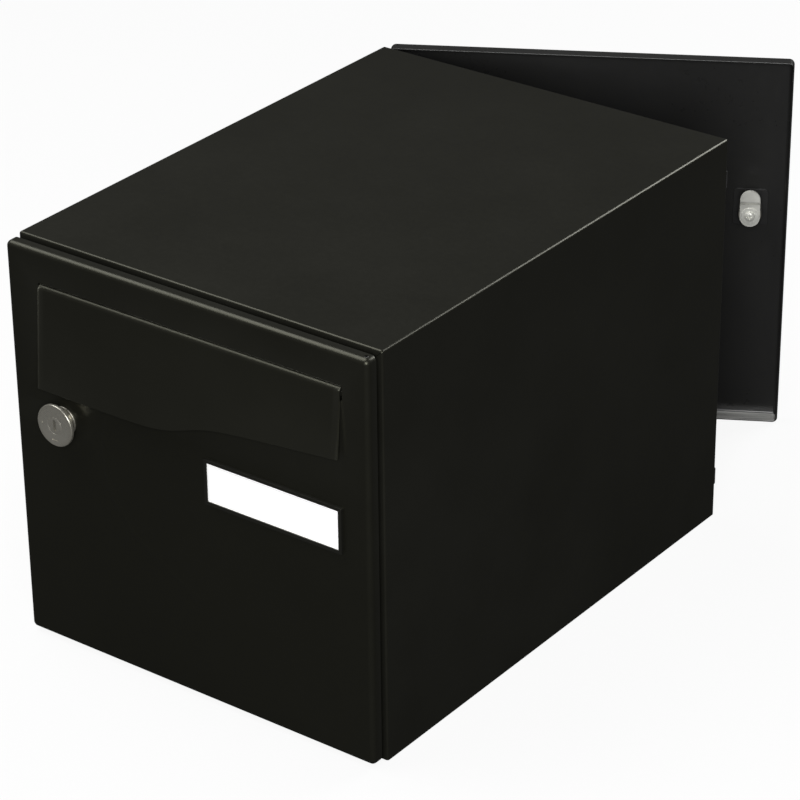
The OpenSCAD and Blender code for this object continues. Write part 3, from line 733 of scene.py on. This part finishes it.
def hinge_pins(node, body, hinge, low_z, high_z, place):
    """The lower and upper pins of a door, on its hinge line."""
    line = place @ Matrix.Translation((hinge.x, hinge.y, 0))
    upside = line @ Matrix.Translation((0, 0, casing_high.z)) @ Matrix.Rotation(math.pi, 4, "X")
    lower, upper = hinge_pin(low_z - casing_low.z), hinge_pin(casing_high.z - high_z)
    piece(node, joined(moved(lower, line), moved(upper, upside)), pin_steel, body, bevel=0)


hinge_pins("front_hinge_pins", "front_door", front_hinge, door_low.z, door_high.z, Matrix.Identity(4))

# ---- Mail guard ----
# A folded ledge behind the slot that keeps hands out and lets letters drop in. Three rivets with
# low round heads hold its flange to the door, in a row under the slot.

guard_low, guard_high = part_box("mail_guard")
GUARD_FALL = 0.009
GUARD_FLANGE = 0.009
reach = guard_high.y - guard_low.y
drop = guard_high.z - guard_low.z
guard_outline = filleted(
    [(0, 0), (0, -GUARD_FLANGE), (SHEET, -GUARD_FLANGE), (SHEET, -2 * SHEET),
     (reach - SHEET, -GUARD_FALL - SHEET), (reach - SHEET, -drop), (reach, -drop), (reach, -GUARD_FALL)],
    [END_BEND, CUT_EDGE, CUT_EDGE, tight, tight, CUT_EDGE, CUT_EDGE, END_BEND])
guard_place = Matrix.Translation((guard_low.x, guard_low.y, guard_high.z)) @ ACROSS
guard = extruded(guard_outline, guard_high.x - guard_low.x, guard_place)
piece("mail_guard", guard, door_paint, "front_door")

rivets_low, rivets_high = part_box("guard_rivets")
RIVET_HEAD = 0.0032
RIVET_HEAD_HIGH = 0.0009
rivet_long = rivets_high.y - rivets_low.y
rivet_profile = [(RIVET_HEAD * math.sin(a), RIVET_HEAD_HIGH * (1 - math.cos(a)))
                 for a in quarter_turn()]
rivet_tail = rivet_long - RIVET_HEAD_HIGH
rivet_profile += [(RIVET_HEAD / 2, RIVET_HEAD_HIGH), (RIVET_HEAD / 2, rivet_tail),
                  (RIVET_HEAD * 0.66, rivet_tail), (RIVET_HEAD * 0.6, rivet_long - SHEET / 4), (0, rivet_long)]
rivet_z = (rivets_low.z + rivets_high.z) / 2
rivet_step = (rivets_high.x - rivets_low.x - 2 * RIVET_HEAD) / 2
rivet = turned(rivet_profile, facing, steps=24)
rivets = row_of("guard_rivets", rivet, door_paint, 3, (rivets_low.x + RIVET_HEAD, rivets_low.y, rivet_z),
                (rivet_step, 0, 0), bevel=0)
piece("guard_rivets", rivets, door_paint, "front_door", bevel=0)

# ---- Flap hinge ----
# A steel rod held in the ears of two small angle brackets, which are spot-welded inside the door.
# The flap's curl turns on the rod.

SIDEWAYS = Matrix.Rotation(math.pi / 2, 4, "Y")
BRACKET = 0.002
BRACKET_HEIGHT = 0.013
brackets_low, brackets_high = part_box("flap_brackets")
rod_low, rod_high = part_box("flap_rod")
rod_radius = (rod_high.z - rod_low.z) / 2
bracket_deep = brackets_high.y - brackets_low.y
foot = rod_low.x - brackets_low.x


def bracket(side):
    """One angle bracket: an ear along the door's depth and a foot on the door."""
    ear = [(0, 0), (foot + BRACKET, 0), (foot + BRACKET, bracket_deep), (foot, bracket_deep),
           (foot, SHEET), (0, SHEET)]
    outline = filleted(ear, [CUT_EDGE, END_BEND, CUT_EDGE, CUT_EDGE, tight, CUT_EDGE])
    left = brackets_low if side < 0 else Vector((brackets_high.x, brackets_low.y, brackets_low.z))
    solid = extruded([(-side * x, y) for x, y in outline], BRACKET_HEIGHT,
                     Matrix.Translation((left.x, left.y, flap_axis.z - BRACKET_HEIGHT / 2)))
    middle = rod_low.x if side < 0 else rod_high.x
    return combined(solid, drill((middle, flap_axis.y, flap_axis.z), rod_radius, 3 * BRACKET, SIDEWAYS))


piece("flap_brackets", joined(bracket(-1), bracket(1)), door_paint, "front_door")

rod_long = rod_high.x - rod_low.x
rod_end = rod_radius / 3
rod = turned([(0, 0), (rod_radius - rod_end, 0), (rod_radius, rod_end), (rod_radius, rod_long - rod_end),
              (rod_radius - rod_end, rod_long), (0, rod_long)],
             Matrix.Translation((rod_low.x, flap_axis.y, flap_axis.z)) @ SIDEWAYS, steps=24)
piece("flap_rod", rod, pin_steel, "front_door", bevel=0)

# ---- Flap buffers ----
# Two small round rubber studs that the closed flap rests on, one each side of the slot. They are
# pushed into the door and taper to a domed tip.

studs_low, studs_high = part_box("flap_buffers")
stud_radius = (studs_high.z - studs_low.z) / 2
stud_long = studs_high.y - studs_low.y
stud_profile = [(0, 0), (stud_radius, 0), (stud_radius * 0.97, stud_long * 0.35),
                (stud_radius * 0.8, stud_long * 0.8), (stud_radius * 0.55, stud_long * 0.95), (0, stud_long)]
out = Matrix.Rotation(math.pi / 2, 4, "X")
stud = turned(stud_profile, out, steps=24)
studs = row_of("flap_buffers", stud, rubber, 2,
               (studs_low.x + stud_radius, studs_high.y, (studs_low.z + studs_high.z) / 2),
               (studs_high.x - studs_low.x - 2 * stud_radius, 0, 0), bevel=0)
piece("flap_buffers", studs, rubber, "front_door", bevel=0)

# ---- Mail flap ----
# A steel flap hung from its curled top edge, leaning out a little at the bottom. Its lower edge
# is a wave: long on the left, a smooth step up past the middle and a gentle rise to the right.

flap_paint = finish("flap_powder_coat", (0.0085, 0.0085, 0.0064), (0.024, 0.024, 0.02), 0.33, 640.0, 0.00001,
                    gloss_tint=OLIVE)
FLAP = 0.0015
CURL = 0.0043
FLAP_LENGTH = 0.0706
FLAP_LEAN = math.radians(4.9)
FLAP_GRID = 0.0025
WAVE_STEP = 0.013
WAVE_SLOPE = 0.095
WAVE_MIDDLE = 0.003
WAVE_RUN = 0.022
KNUCKLE = 0.004
ROD_PLAY = 0.00005


def wave_tree():
    """Geometry nodes that shorten a hanging sheet by a smooth step and a slope across its width."""
    group, start, end = node_group("wavy_flap", "GeometryNodeTree", [
        ("Sheet", "NodeSocketGeometry", None), ("Length", "NodeSocketFloat", FLAP_LENGTH),
        ("Step", "NodeSocketFloat", WAVE_STEP), ("Slope", "NodeSocketFloat", WAVE_SLOPE),
        ("Middle", "NodeSocketFloat", 0.0), ("Run", "NodeSocketFloat", WAVE_RUN),
        ("Knuckles", "NodeSocketFloat", CURL),
        ("Lean", "NodeSocketFloat", 0.0), ("Axis", "NodeSocketVector", (0, 0, 0)),
        ("Finish", "NodeSocketMaterial", None),
    ], [("Flap", "NodeSocketGeometry")])

    def math_node(operation, *values):
        return calc(group, operation, *values)

    def vector_parts(vector):
        node = group.nodes.new("ShaderNodeSeparateXYZ")
        group.links.new(vector, node.inputs[0])
        return node.outputs

    def vector_of(*values):
        node = group.nodes.new("ShaderNodeCombineXYZ")
        for socket, value in zip(node.inputs, values):
            set_input(group, socket, value)
        return node.outputs[0]

    place = group.nodes.new("GeometryNodeInputPosition").outputs[0]
    x, y, z = vector_parts(place)
    run = start.outputs["Run"]
    from_middle = math_node("SUBTRACT", x, start.outputs["Middle"])
    past = math_node("DIVIDE", math_node("MULTIPLY", 2.0, from_middle), run)
    step = math_node("DIVIDE", start.outputs["Step"],
                     math_node("ADD", 1.0, math_node("EXPONENT", math_node("MULTIPLY", past, -1.0))))
    ramp = math_node("LOGARITHM", math_node("ADD", 1.0, math_node("EXPONENT", past)), math.e)
    slope = math_node("MULTIPLY", math_node("MULTIPLY", start.outputs["Slope"],
                                            math_node("MULTIPLY", run, 0.5)), ramp)
    share = math_node("DIVIDE", math_node("ADD", step, slope),
                      math_node("SUBTRACT", start.outputs["Length"], start.outputs["Knuckles"]))
    hanging = math_node("MINIMUM", math_node("ADD", z, start.outputs["Knuckles"]), 0.0)
    shorter = math_node("SUBTRACT", z, math_node("MULTIPLY", hanging, share))
    shaped = group.nodes.new("GeometryNodeSetPosition")
    group.links.new(start.outputs["Sheet"], shaped.inputs["Geometry"])
    group.links.new(vector_of(x, y, shorter), shaped.inputs["Position"])
    hung = group.nodes.new("GeometryNodeTransform")
    group.links.new(shaped.outputs["Geometry"], hung.inputs["Geometry"])
    group.links.new(vector_of(math_node("MULTIPLY", start.outputs["Lean"], -1.0), 0.0, 0.0),
                    hung.inputs["Rotation"])
    group.links.new(start.outputs["Axis"], hung.inputs["Translation"])
    solid = group.nodes.new("GeometryNodeRealizeInstances")
    coat = group.nodes.new("GeometryNodeSetMaterial")
    link_all(group, (hung.outputs["Geometry"], solid.inputs["Geometry"]),
             (solid.outputs["Geometry"], coat.inputs["Geometry"]),
             (start.outputs["Finish"], coat.inputs["Material"]),
             (coat.outputs["Geometry"], end.inputs["Flap"]))
    return group


def flap_section():
    """The flap's section in (y, z): a flat leg with a half-round curl over the rod."""
    steps = 14
    edge = FLAP / 3
    turns = [math.pi * (1 - k / steps) for k in range(steps + 1)]
    outer = [(CURL * math.cos(a), CURL * math.sin(a)) for a in turns]
    inner = [((CURL - FLAP) * math.cos(a), (CURL - FLAP) * math.sin(a)) for a in reversed(turns)]
    low = -FLAP_LENGTH
    leg_out = [(-CURL + edge, low), (-CURL, low + edge), (-CURL, -CURL)]
    leg_in = [(-CURL + FLAP, -CURL), (-CURL + FLAP, low + edge), (-CURL + FLAP - edge, low)]
    return leg_out + outer + inner + leg_in


def sheet_across(section, places):
    """A closed section in (y, z) carried through a list of places along X."""
    mesh = bmesh.new()
    columns = [[mesh.verts.new((x, y, z)) for y, z in section] for x in places]
    for a, b in zip(columns, columns[1:]):
        for i in range(len(section)):
            mesh.faces.new((a[i - 1], a[i], b[i], b[i - 1]))
    mesh.faces.new(columns[0])
    mesh.faces.new(columns[-1])
    bmesh.ops.recalc_face_normals(mesh, faces=mesh.faces)
    return mesh


flap_mesh = sheet_across(flap_section(), spaced(flap_low.x, flap_high.x, FLAP_GRID))
knuckle_in = rod_radius + ROD_PLAY
knuckle_out = CURL - FLAP * 0.9
for knuckle_x in (flap_low.x, flap_high.x - KNUCKLE):
    knuckle = turned([(knuckle_in, 0), (knuckle_out, 0), (knuckle_out, KNUCKLE), (knuckle_in, KNUCKLE)],
                     Matrix.Translation((knuckle_x, 0, 0)) @ SIDEWAYS, ring=True, steps=32)
    flap_mesh = combined(flap_mesh, knuckle, "UNION")
flap = finish_edges(linked("mail_flap_detail", flap_mesh), CUT_EDGE)
flap = with_tree(flap, wave_tree(), {
    "Length": FLAP_LENGTH, "Step": WAVE_STEP, "Slope": WAVE_SLOPE, "Middle": WAVE_MIDDLE, "Run": WAVE_RUN,
    "Knuckles": CURL, "Lean": FLAP_LEAN, "Axis": (0, flap_axis.y, flap_axis.z), "Finish": flap_paint})
piece("mail_flap", flap, flap_paint, "mail_flap", bevel=0)

# ---- Name plate ----
# A moulded holder with a thin lip round its window, held by two studs through the door, and a
# plain white card slid in under the lip.

holder_plastic = finish("holder_plastic", (0.0062, 0.0062, 0.0048), (0.03, 0.03, 0.028), 0.34, 1500.0,
                        0.00002, gloss_tint=OLIVE)
card_paper = finish("white_card_painted_glow", (0.97, 0.97, 0.965), (0.98, 0.98, 0.975), 0.75, 3200.0, 0.000015, wear=0.0,
                    tone_drift=0.02)
card_shader = card_paper.node_tree.nodes["Principled BSDF"]
# The card's faint white glow is painted light: it makes the card brighter than the lamps alone would.
card_shader.inputs["Emission Color"].default_value = (1, 1, 1, 1)
card_shader.inputs["Emission Strength"].default_value = 0.22
LABEL_LIP = 0.0026
LABEL_WALL = 0.0008
LABEL_CORNER = 0.0012
STUD = 0.002
STUD_HEAD = 0.003
holder_low, holder_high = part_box("label_holder")
card_low, card_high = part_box("label_card")
window_low = holder_low + Vector((LABEL_LIP, 0, LABEL_LIP))
window_high = holder_high - Vector((LABEL_LIP, 0, LABEL_LIP))
HOLDER_EDGE = 0.0002
CARD_EDGE = 0.0001
PLAY = 0.0001
holder = rounded_block(holder_low, (holder_high.x, face_y, holder_high.z), LABEL_CORNER)
card_room = rounded_block((card_low.x - PLAY, holder_low.y + LABEL_WALL, card_low.z - PLAY),
                          (card_high.x + PLAY, face_y - LABEL_WALL, card_high.z + PLAY), CUT_EDGE)
window = rounded_block((window_low.x, holder_low.y - LABEL_WALL, window_low.z),
                       (window_high.x, face_y - LABEL_WALL, window_high.z), CUT_EDGE)
holder = combined(combined(holder, card_room), window)
stud_in = holder_high.y - face_y
stud = turned([(0, -LABEL_WALL / 2), (STUD, -LABEL_WALL / 2), (STUD, stud_in - LABEL_WALL),
               (STUD_HEAD, stud_in - LABEL_WALL), (STUD_HEAD * 0.9, stud_in), (0, stud_in)], facing, steps=24)
label_middle = (holder_low + holder_high) / 2
stud_step = (window_high.x - window_low.x) * 2 / 3
for side in (-0.5, 0.5):
    own = stud.copy()
    bmesh.ops.translate(own, vec=(label_middle.x + side * stud_step, face_y, label_middle.z), verts=own.verts)
    holder = combined(holder, own, "UNION")
stud.free()
piece("label_holder", holder, holder_plastic, "front_door", bevel=HOLDER_EDGE)
piece("label_card", rounded_block(card_low, card_high, CUT_EDGE), card_paper, "front_door", bevel=CARD_EDGE)

# ---- Locks ----
# Nickel-plated cam locks. A barrel goes through the door and is held by a spring clip; the plug
# turns in it with its round knob outside and a cranked zinc cam, washer and screw inside.

BARREL = 0.0085
BARREL_BEHIND = 0.0168
COLLAR = 0.0105
COLLAR_THICK = 0.001
KNOB_GAP = 0.0002
KNOB = 0.01525
KNOB_THICK = 0.0028
KNOB_OUT = 0.0095
KNOB_EDGE = 0.0008
PLUG = 0.006
PLUG_SQUARE = 0.007
CLIP = 0.0012
CLIP_SLOT = 0.0141
CLIP_SIDE = 0.0045
CLIP_END = 0.006
KEYWAY = (0.0022, 0.0085, 0.008)
FACE_MARK = 0.0003
DOT = 0.0007
DASH = 0.0026
DASH_ROUND = 0.00025
CAM_WIDTH = 0.015
CAM = 0.002
CAM_TAIL = 0.009
CAM_STEP = 0.009
CAM_STEP_RUN = 0.003
WASHER = 0.0065
WASHER_THICK = 0.0008
SCREW = 0.002
SCREW_LONG = 0.008
SCREW_HEAD = 0.0038
SCREW_HEAD_HIGH = 0.0022
CROSS = (0.0004, 0.0022)
cam_start = BARREL_BEHIND + PLAY


def nickel_plate(name, centre, turn):
    return finish(name, (0.5, 0.48, 0.41), (0.75, 0.73, 0.66), 0.3, 1500.0, 0.000005, wear=0.5, metal=0.8,
                  gloss_drift=0.08, stretch=(1, 6, 1), centre=centre, turn=turn)


zinc = finish("zinc_plate", (0.78, 0.78, 0.72), (0.88, 0.88, 0.83), 0.36, 700.0, 0.00001, wear=0.5, metal=0.3,
              gloss_drift=0.12, tone_drift=0.3)
spring_steel = finish("spring_steel", (0.009, 0.009, 0.0088), (0.03, 0.03, 0.03), 0.42, 1200.0, 0.00001,
                      wear=0.4)


def edged(radius, z0, z1, edge):
    """Half of a disc's profile with rounded rims, from the axis out and back."""
    turns = quarter_turn(4)
    front = [(radius - edge * (1 - math.sin(a)), z0 + edge * (1 - math.cos(a))) for a in turns]
    back = [(radius - edge * (1 - math.cos(a)), z1 - edge * (1 - math.sin(a))) for a in turns]
    return [(0, z0)] + front + back


def lock_barrel():
    """Round barrel with a collar against the door and a groove each side for the clip."""
    out = KNOB_OUT - KNOB_THICK - KNOB_GAP
    bore = PLUG + ROD_PLAY
    edge = CUT_EDGE
    barrel = turned([(bore, -out), (BARREL - edge, -out), (BARREL, edge - out), (BARREL, -COLLAR_THICK),
                     (COLLAR - edge, -COLLAR_THICK), (COLLAR, edge - COLLAR_THICK), (COLLAR, 0), (BARREL, 0),
                     (BARREL, BARREL_BEHIND - edge), (BARREL - edge, BARREL_BEHIND), (bore, BARREL_BEHIND)],
                    ring=True)
    for side in (-1, 1):
        groove = extruded([(side * (CLIP_SLOT / 2 - PLAY), -COLLAR), (side * 2 * COLLAR, -COLLAR),
                           (side * 2 * COLLAR, COLLAR), (side * (CLIP_SLOT / 2 - PLAY), COLLAR)],
                          CLIP + PLAY, Matrix.Translation((0, 0, SHEET)))
        barrel = combined(barrel, groove)
    return barrel


def lock_clip():
    """Flat spring clip with two prongs that slide into the barrel's grooves."""
    half_w, half_h = BARREL + CLIP_SIDE, BARREL + CLIP_END
    gap, top = CLIP_SLOT / 2, half_h
    bottom = -BARREL - PLAY
    corners = [(-half_w, -half_h), (half_w, -half_h), (half_w, top), (gap, top), (gap, bottom),
               (-gap, bottom), (-gap, top), (-half_w, top)]
    outline = filleted(corners, [0.003, 0.003, 0.0015, 0.0008, 0.002, 0.002, 0.0008, 0.0015])
    return extruded(outline, CLIP, Matrix.Translation((0, 0, SHEET)))


def lock_plug():
    """Plug and knob: a keyway, a turned ring and two index marks in the face, a square end behind."""
    face = -KNOB_OUT
    knob_back = face + KNOB_THICK
    groove = FACE_MARK
    profile = [(0, face), (PLUG - groove, face), (PLUG, face + groove), (PLUG + groove, face)]
    profile += edged(KNOB, face, knob_back, KNOB_EDGE)[1:]
    profile += [(PLUG, knob_back), (PLUG, cam_start), (0, cam_start)]
    plug = turned(profile, steps=64)
    half = PLUG_SQUARE / 2
    square = extruded(oblong(half, half), CAM + groove, Matrix.Translation((0, 0, cam_start - groove)))
    plug = combined(plug, square, "UNION")
    key_w, key_h, key_deep = KEYWAY
    keyway = filleted(oblong(key_w / 2, key_h / 2), [key_w / 4] * 4)
    into_face = Matrix.Translation((0, 0, face - key_deep))
    plug = combined(plug, extruded(keyway, 2 * key_deep, into_face))
    mark_out = (KNOB + PLUG) / 2
    plug = combined(plug, drill((-mark_out, 0, face), DOT, groove))
    dash = filleted(oblong(DASH, groove), [DASH_ROUND] * 4)
    return combined(plug, extruded(dash, 2 * groove, Matrix.Translation((0, mark_out, face - groove))))


def cam_stations(reach):
    """Places along a cam with the half width there: round ends and straight sides."""
    end = CAM_WIDTH / 2
    turns = quarter_turn(9)
    first = [(CAM_TAIL - end + end * math.cos(a), end * math.sin(a)) for a in turns]
    bend = [(-CAM_STEP - CAM_STEP_RUN * (k / 8 * 1.6 - 0.3), end) for k in range(9)]
    last = [(end - reach - end * math.sin(a), end * math.cos(a)) for a in turns]
    return [(s, max(w, end / 12)) for s, w in first + bend + last]


def lock_cam(reach, crank):
    """Flat bar with round ends, stepped smoothly part way along."""
    mesh = bmesh.new()
    rows = []
    for along, half in cam_stations(reach):
        share = min(1, max(0, (-along - CAM_STEP) / CAM_STEP_RUN))
        z = cam_start + crank * share * share * (3 - 2 * share)
        rows.append([mesh.verts.new(spot) for spot in
                     ((-half, along, z), (half, along, z), (half, along, z + CAM), (-half, along, z + CAM))])
    for a, b in zip(rows, rows[1:]):
        for i in range(4):
            mesh.faces.new((a[i - 1], a[i], b[i], b[i - 1]))
    mesh.faces.new(rows[0])
    mesh.faces.new(rows[-1])
    bmesh.ops.recalc_face_normals(mesh, faces=mesh.faces)
    half = PLUG_SQUARE / 2 + PLAY
    hole = extruded(oblong(half, half), 3 * CAM, Matrix.Translation((0, 0, cam_start - CAM)))
    return combined(mesh, hole)


def cam_washer():
    """Flat washer with a chamfered outer rim."""
    z0 = cam_start + CAM
    z1 = z0 + WASHER_THICK
    edge = WASHER_THICK / 3
    bore = SCREW + PLAY
    return turned([(bore, z0), (WASHER, z0), (WASHER, z1 - edge), (WASHER - edge, z1), (bore, z1)], ring=True)


def cam_screw():
    """Pan-head screw with a cross recess."""
    z0 = cam_start + CAM + WASHER_THICK
    head, high = SCREW_HEAD, SCREW_HEAD_HIGH
    dome = [(head * (0.35 + 0.65 * math.cos(a)), z0 + high * (0.35 + 0.65 * math.sin(a)))
            for a in quarter_turn()]
    shank = SCREW - ROD_PLAY
    tip = z0 - SCREW_LONG
    screw = turned([(0, tip), (shank * 0.7, tip), (shank, tip + WASHER_THICK), (shank, z0), (head, z0)]
                   + dome + [(0, z0 + high)], steps=40)
    recess_floor = Matrix.Translation((0, 0, z0 + high * 0.55))
    for a, b in (CROSS, CROSS[::-1]):
        screw = combined(screw, extruded(oblong(a, b), high, recess_floor))
    return screw


def fit_lock(end, place, nickel, reach, crank):
    """One whole lock at an end of the box."""
    door, turning = end + "_door", end + "_lock"
    plated_edge, clip_edge, cam_edge = 0.0001, 0.0002, 0.0004
    parts = [("lock_barrel", lock_barrel(), nickel, door, plated_edge),
             ("lock_clip", lock_clip(), spring_steel, door, clip_edge),
             ("lock_plug", lock_plug(), nickel, turning, plated_edge),
             ("lock_cam", lock_cam(reach, crank), zinc, turning, cam_edge),
             ("cam_washer", cam_washer(), zinc, turning, 0),
             ("cam_screw", cam_screw(), zinc, turning, plated_edge)]
    for label, mesh, material, body, bevel in parts:
        piece(end + "_" + label, moved(mesh, place), material, body, bevel)


front_place = Matrix.Translation((front_lock.x, face_y, front_lock.z)) @ facing
FRONT_CAM = (0.030, -0.0036)
fit_lock("front", front_place, nickel_plate("front_nickel", front_lock, 0), *FRONT_CAM)

# ---- Rear door ----
# A deeper plain pan of sheet with the same bends, standing open on its own pair of hinge pins.
# Its lock is like the front one, with a shorter cam stepped away from the door.


def closed_box(node):
    """A rear door node's corners with the door closed and turned to the front end."""
    back = at_rear_door.inverted()
    spots = [back @ vertex.co for vertex in frame["nodes"][node].data.vertices]
    return (Vector([min(s[i] for s in spots) for i in range(3)]),
            Vector([max(s[i] for s in spots) for i in range(3)]))


# The rear door wears the casing's black coat, laid about twice as light: the extra lightness is painted light for
# its dim inside face.
rear_paint_with_painted_light = finish("rear_powder_coat_painted_light", (0.015, 0.015, 0.0146), (0.03, 0.03, 0.028), 0.3, 640.0, 0.00001)


def painted_flange_highlight(material, turn):
    """Paints a highlight: a bright, streaky colour on the faces that point up near the bottom, on the bottom
    flange's upper face.
    """
    tree = material.node_tree
    group, start, end = node_group("painted_flange_highlight", "ShaderNodeTree", [
        ("Vector", "NodeSocketVector", None), ("Colour", "NodeSocketColor", (0.5, 0.5, 0.5, 1)),
        ("Highlight", "NodeSocketColor", (0.5, 0.5, 0.48, 1)), ("Reach", "NodeSocketFloat", 0.003),
        ("Turn", "NodeSocketVector", (0, 0, 0))], [("Colour", "NodeSocketColor")])

    def height(vector):
        parts = group.nodes.new("ShaderNodeSeparateXYZ")
        group.links.new(vector, parts.inputs[0])
        return parts.outputs["Z"]

    normal = group.nodes.new("ShaderNodeNewGeometry").outputs["Normal"]
    facing_up = remap(group, height(normal), 0.4, 0.8, 0.0, 1.0)
    low = calc(group, "LESS_THAN", height(start.outputs["Vector"]), start.outputs["Reach"])
    streak = group.nodes.new("ShaderNodeMapping")
    streak.vector_type = "TEXTURE"
    streak.inputs["Scale"].default_value = (14, 1, 1)
    group.links.new(start.outputs["Vector"], streak.inputs["Vector"])
    group.links.new(start.outputs["Turn"], streak.inputs["Rotation"])
    drawn = remap(group, noise(group, streak.outputs["Vector"], 420.0, 4, 0.6), 0.25, 0.75, 0.35, 1.0)
    # The painted highlight shows only on faces that point up, low on the door, in streaks.
    highlight_mask = calc(group, "MULTIPLY", drawn,
                 calc(group, "MULTIPLY", facing_up, low))
    colour = blend(group, highlight_mask, start.outputs["Colour"], start.outputs["Highlight"])
    group.links.new(colour, end.inputs["Colour"])
    shader = tree.nodes["Principled BSDF"]
    painted = shader.inputs["Base Color"].links[0].from_socket
    highlight_node = tree.nodes.new("ShaderNodeGroup")
    highlight_node.node_tree = group
    place = tree.nodes.new("ShaderNodeTexCoord")
    link_all(tree, (place.outputs["Object"], highlight_node.inputs["Vector"]), (painted, highlight_node.inputs["Colour"]),
             (highlight_node.outputs["Colour"], shader.inputs["Base Color"]))
    highlight_node.inputs["Turn"].default_value = (0, 0, turn)


pan_low, pan_high = closed_box("rear_door_panel")
rear_barrel_low, rear_barrel_high = closed_box("rear_lock_barrel")
# The bright streaky band on the rear door's bottom flange is a painted highlight.
painted_flange_highlight(rear_paint_with_painted_light, rear_opened)
rear_lock_x = (rear_barrel_low.x + rear_barrel_high.x) / 2
rear_lock_z = (rear_barrel_low.z + rear_barrel_high.z) / 2
rear_pan = door_pan(pan_low, pan_high, pan_high.y - pan_low.y)
rear_pan = combined(rear_pan, drill((rear_lock_x, pan_low.y, rear_lock_z), LOCK_HOLE, 2 * SHEET, facing))
piece("rear_door_panel", moved(rear_pan, at_rear_door), rear_paint_with_painted_light, "rear_door", bevel=0)
hinge_pins("rear_hinge_pins", "rear_door", half_round @ rear_hinge, pan_low.z, pan_high.z, at_rear_door)
rear_place = at_rear_door @ Matrix.Translation((rear_lock_x, pan_low.y, rear_lock_z)) @ facing
REAR_CAM = (0.021, 0.002)
fit_lock("rear", rear_place, nickel_plate("rear_nickel", rear_place.translation, rear_opened), *REAR_CAM)

# ---- Floor ----
# A wide sheet of pale studio paper under the box. Its own light keeps it near white, and it
# throws little light back on the black paint.

FLOOR_GAP = 0.0004


def studio_floor():
    mesh = bmesh.new()
    bmesh.ops.create_grid(mesh, x_segments=1, y_segments=1, size=20)
    floor = linked("studio_floor", mesh)
    floor.location.z = -FLOOR_GAP
    material = bpy.data.materials.new("pale_floor")
    material.use_nodes = True
    tree = material.node_tree
    tree.nodes.clear()
    output = tree.nodes.new("ShaderNodeOutputMaterial")
    paper, glow, dull, both, mixed = (tree.nodes.new(kind) for kind in (
        "ShaderNodeBsdfDiffuse", "ShaderNodeEmission", "ShaderNodeBsdfDiffuse", "ShaderNodeAddShader",
        "ShaderNodeMixShader"))
    paper.inputs["Color"].default_value = (0.08, 0.08, 0.08, 1)
    glow.inputs["Strength"].default_value = 0.9
    dull.inputs["Color"].default_value = (0.05, 0.05, 0.05, 1)
    seen = tree.nodes.new("ShaderNodeLightPath").outputs["Is Camera Ray"]
    link_all(tree, (paper.outputs[0], both.inputs[0]), (glow.outputs[0], both.inputs[1]),
             (seen, mixed.inputs[0]), (dull.outputs[0], mixed.inputs[1]),
             (both.outputs[0], mixed.inputs[2]), (mixed.outputs[0], output.inputs[0]))
    floor.data.materials.append(material)


studio_floor()

# ---- Light ----
# Three soft boxes: one overhead and to the left that draws the bends' highlights, one high at the
# back for the right-hand edge, and a weak one at the front for the door.


def soft_box(name, place, aim, width, height, power):
    light = bpy.data.lights.new(name, "AREA")
    light.shape = "RECTANGLE"
    light.size = width
    light.size_y = height
    light.energy = power
    lamp = bpy.data.objects.new(name, light)
    lamp.location = place
    lamp.rotation_euler = (Vector(aim) - Vector(place)).to_track_quat("-Z", "Y").to_euler()
    bpy.context.scene.collection.objects.link(lamp)


box_middle = (0, 0, 0.15)
soft_box("overhead", (-0.75, -0.35, 1.75), box_middle, 1.5, 1.3, 25)
soft_box("back_edge", (0.55, 1.75, 1.35), box_middle, 1.1, 0.6, 22)
soft_box("front_fill", (1.3, -1.9, 1.2), box_middle, 1.2, 1.2, 57)

world = bpy.data.worlds.new("studio")
bpy.context.scene.world = world
world.use_nodes = True
room = world.node_tree
backdrop = room.nodes["Background"]
backdrop.inputs["Strength"].default_value = 1.0
shade = room.nodes.new("ShaderNodeMix")
shade.data_type = "RGBA"
shade.inputs["A"].default_value = (0.075, 0.075, 0.075, 1)
shade.inputs["B"].default_value = (1, 1, 1, 1)
room.links.new(room.nodes.new("ShaderNodeLightPath").outputs["Is Camera Ray"], shade.inputs["Factor"])
room.links.new(shade.outputs["Result"], backdrop.inputs["Color"])
bpy.context.scene.view_settings.view_transform = "Standard"

# ---- Camera ----
# A long lens from the front right and above.

AZIMUTH = math.radians(37.13)
ELEVATION = math.radians(28.19)
ROLL = math.radians(-0.68)
AIM = Vector((0.0248, -0.0245, 0.1365))
DISTANCE = 2.3

lens = bpy.data.cameras.new("camera")
lens.sensor_width = 36
lens.lens = 149.87
lens.shift_x = 0.0083
lens.shift_y = 0.0258
lens.clip_end = 100
camera = bpy.data.objects.new("camera", lens)
away = Vector((math.sin(AZIMUTH) * math.cos(ELEVATION), -math.cos(AZIMUTH) * math.cos(ELEVATION),
               math.sin(ELEVATION)))
camera.location = AIM + away * DISTANCE
level = (-away).to_track_quat("-Z", "Y")
camera.rotation_euler = (level.to_matrix() @ Matrix.Rotation(ROLL, 3, "Z")).to_euler()
bpy.context.scene.collection.objects.link(camera)
bpy.context.scene.camera = camera
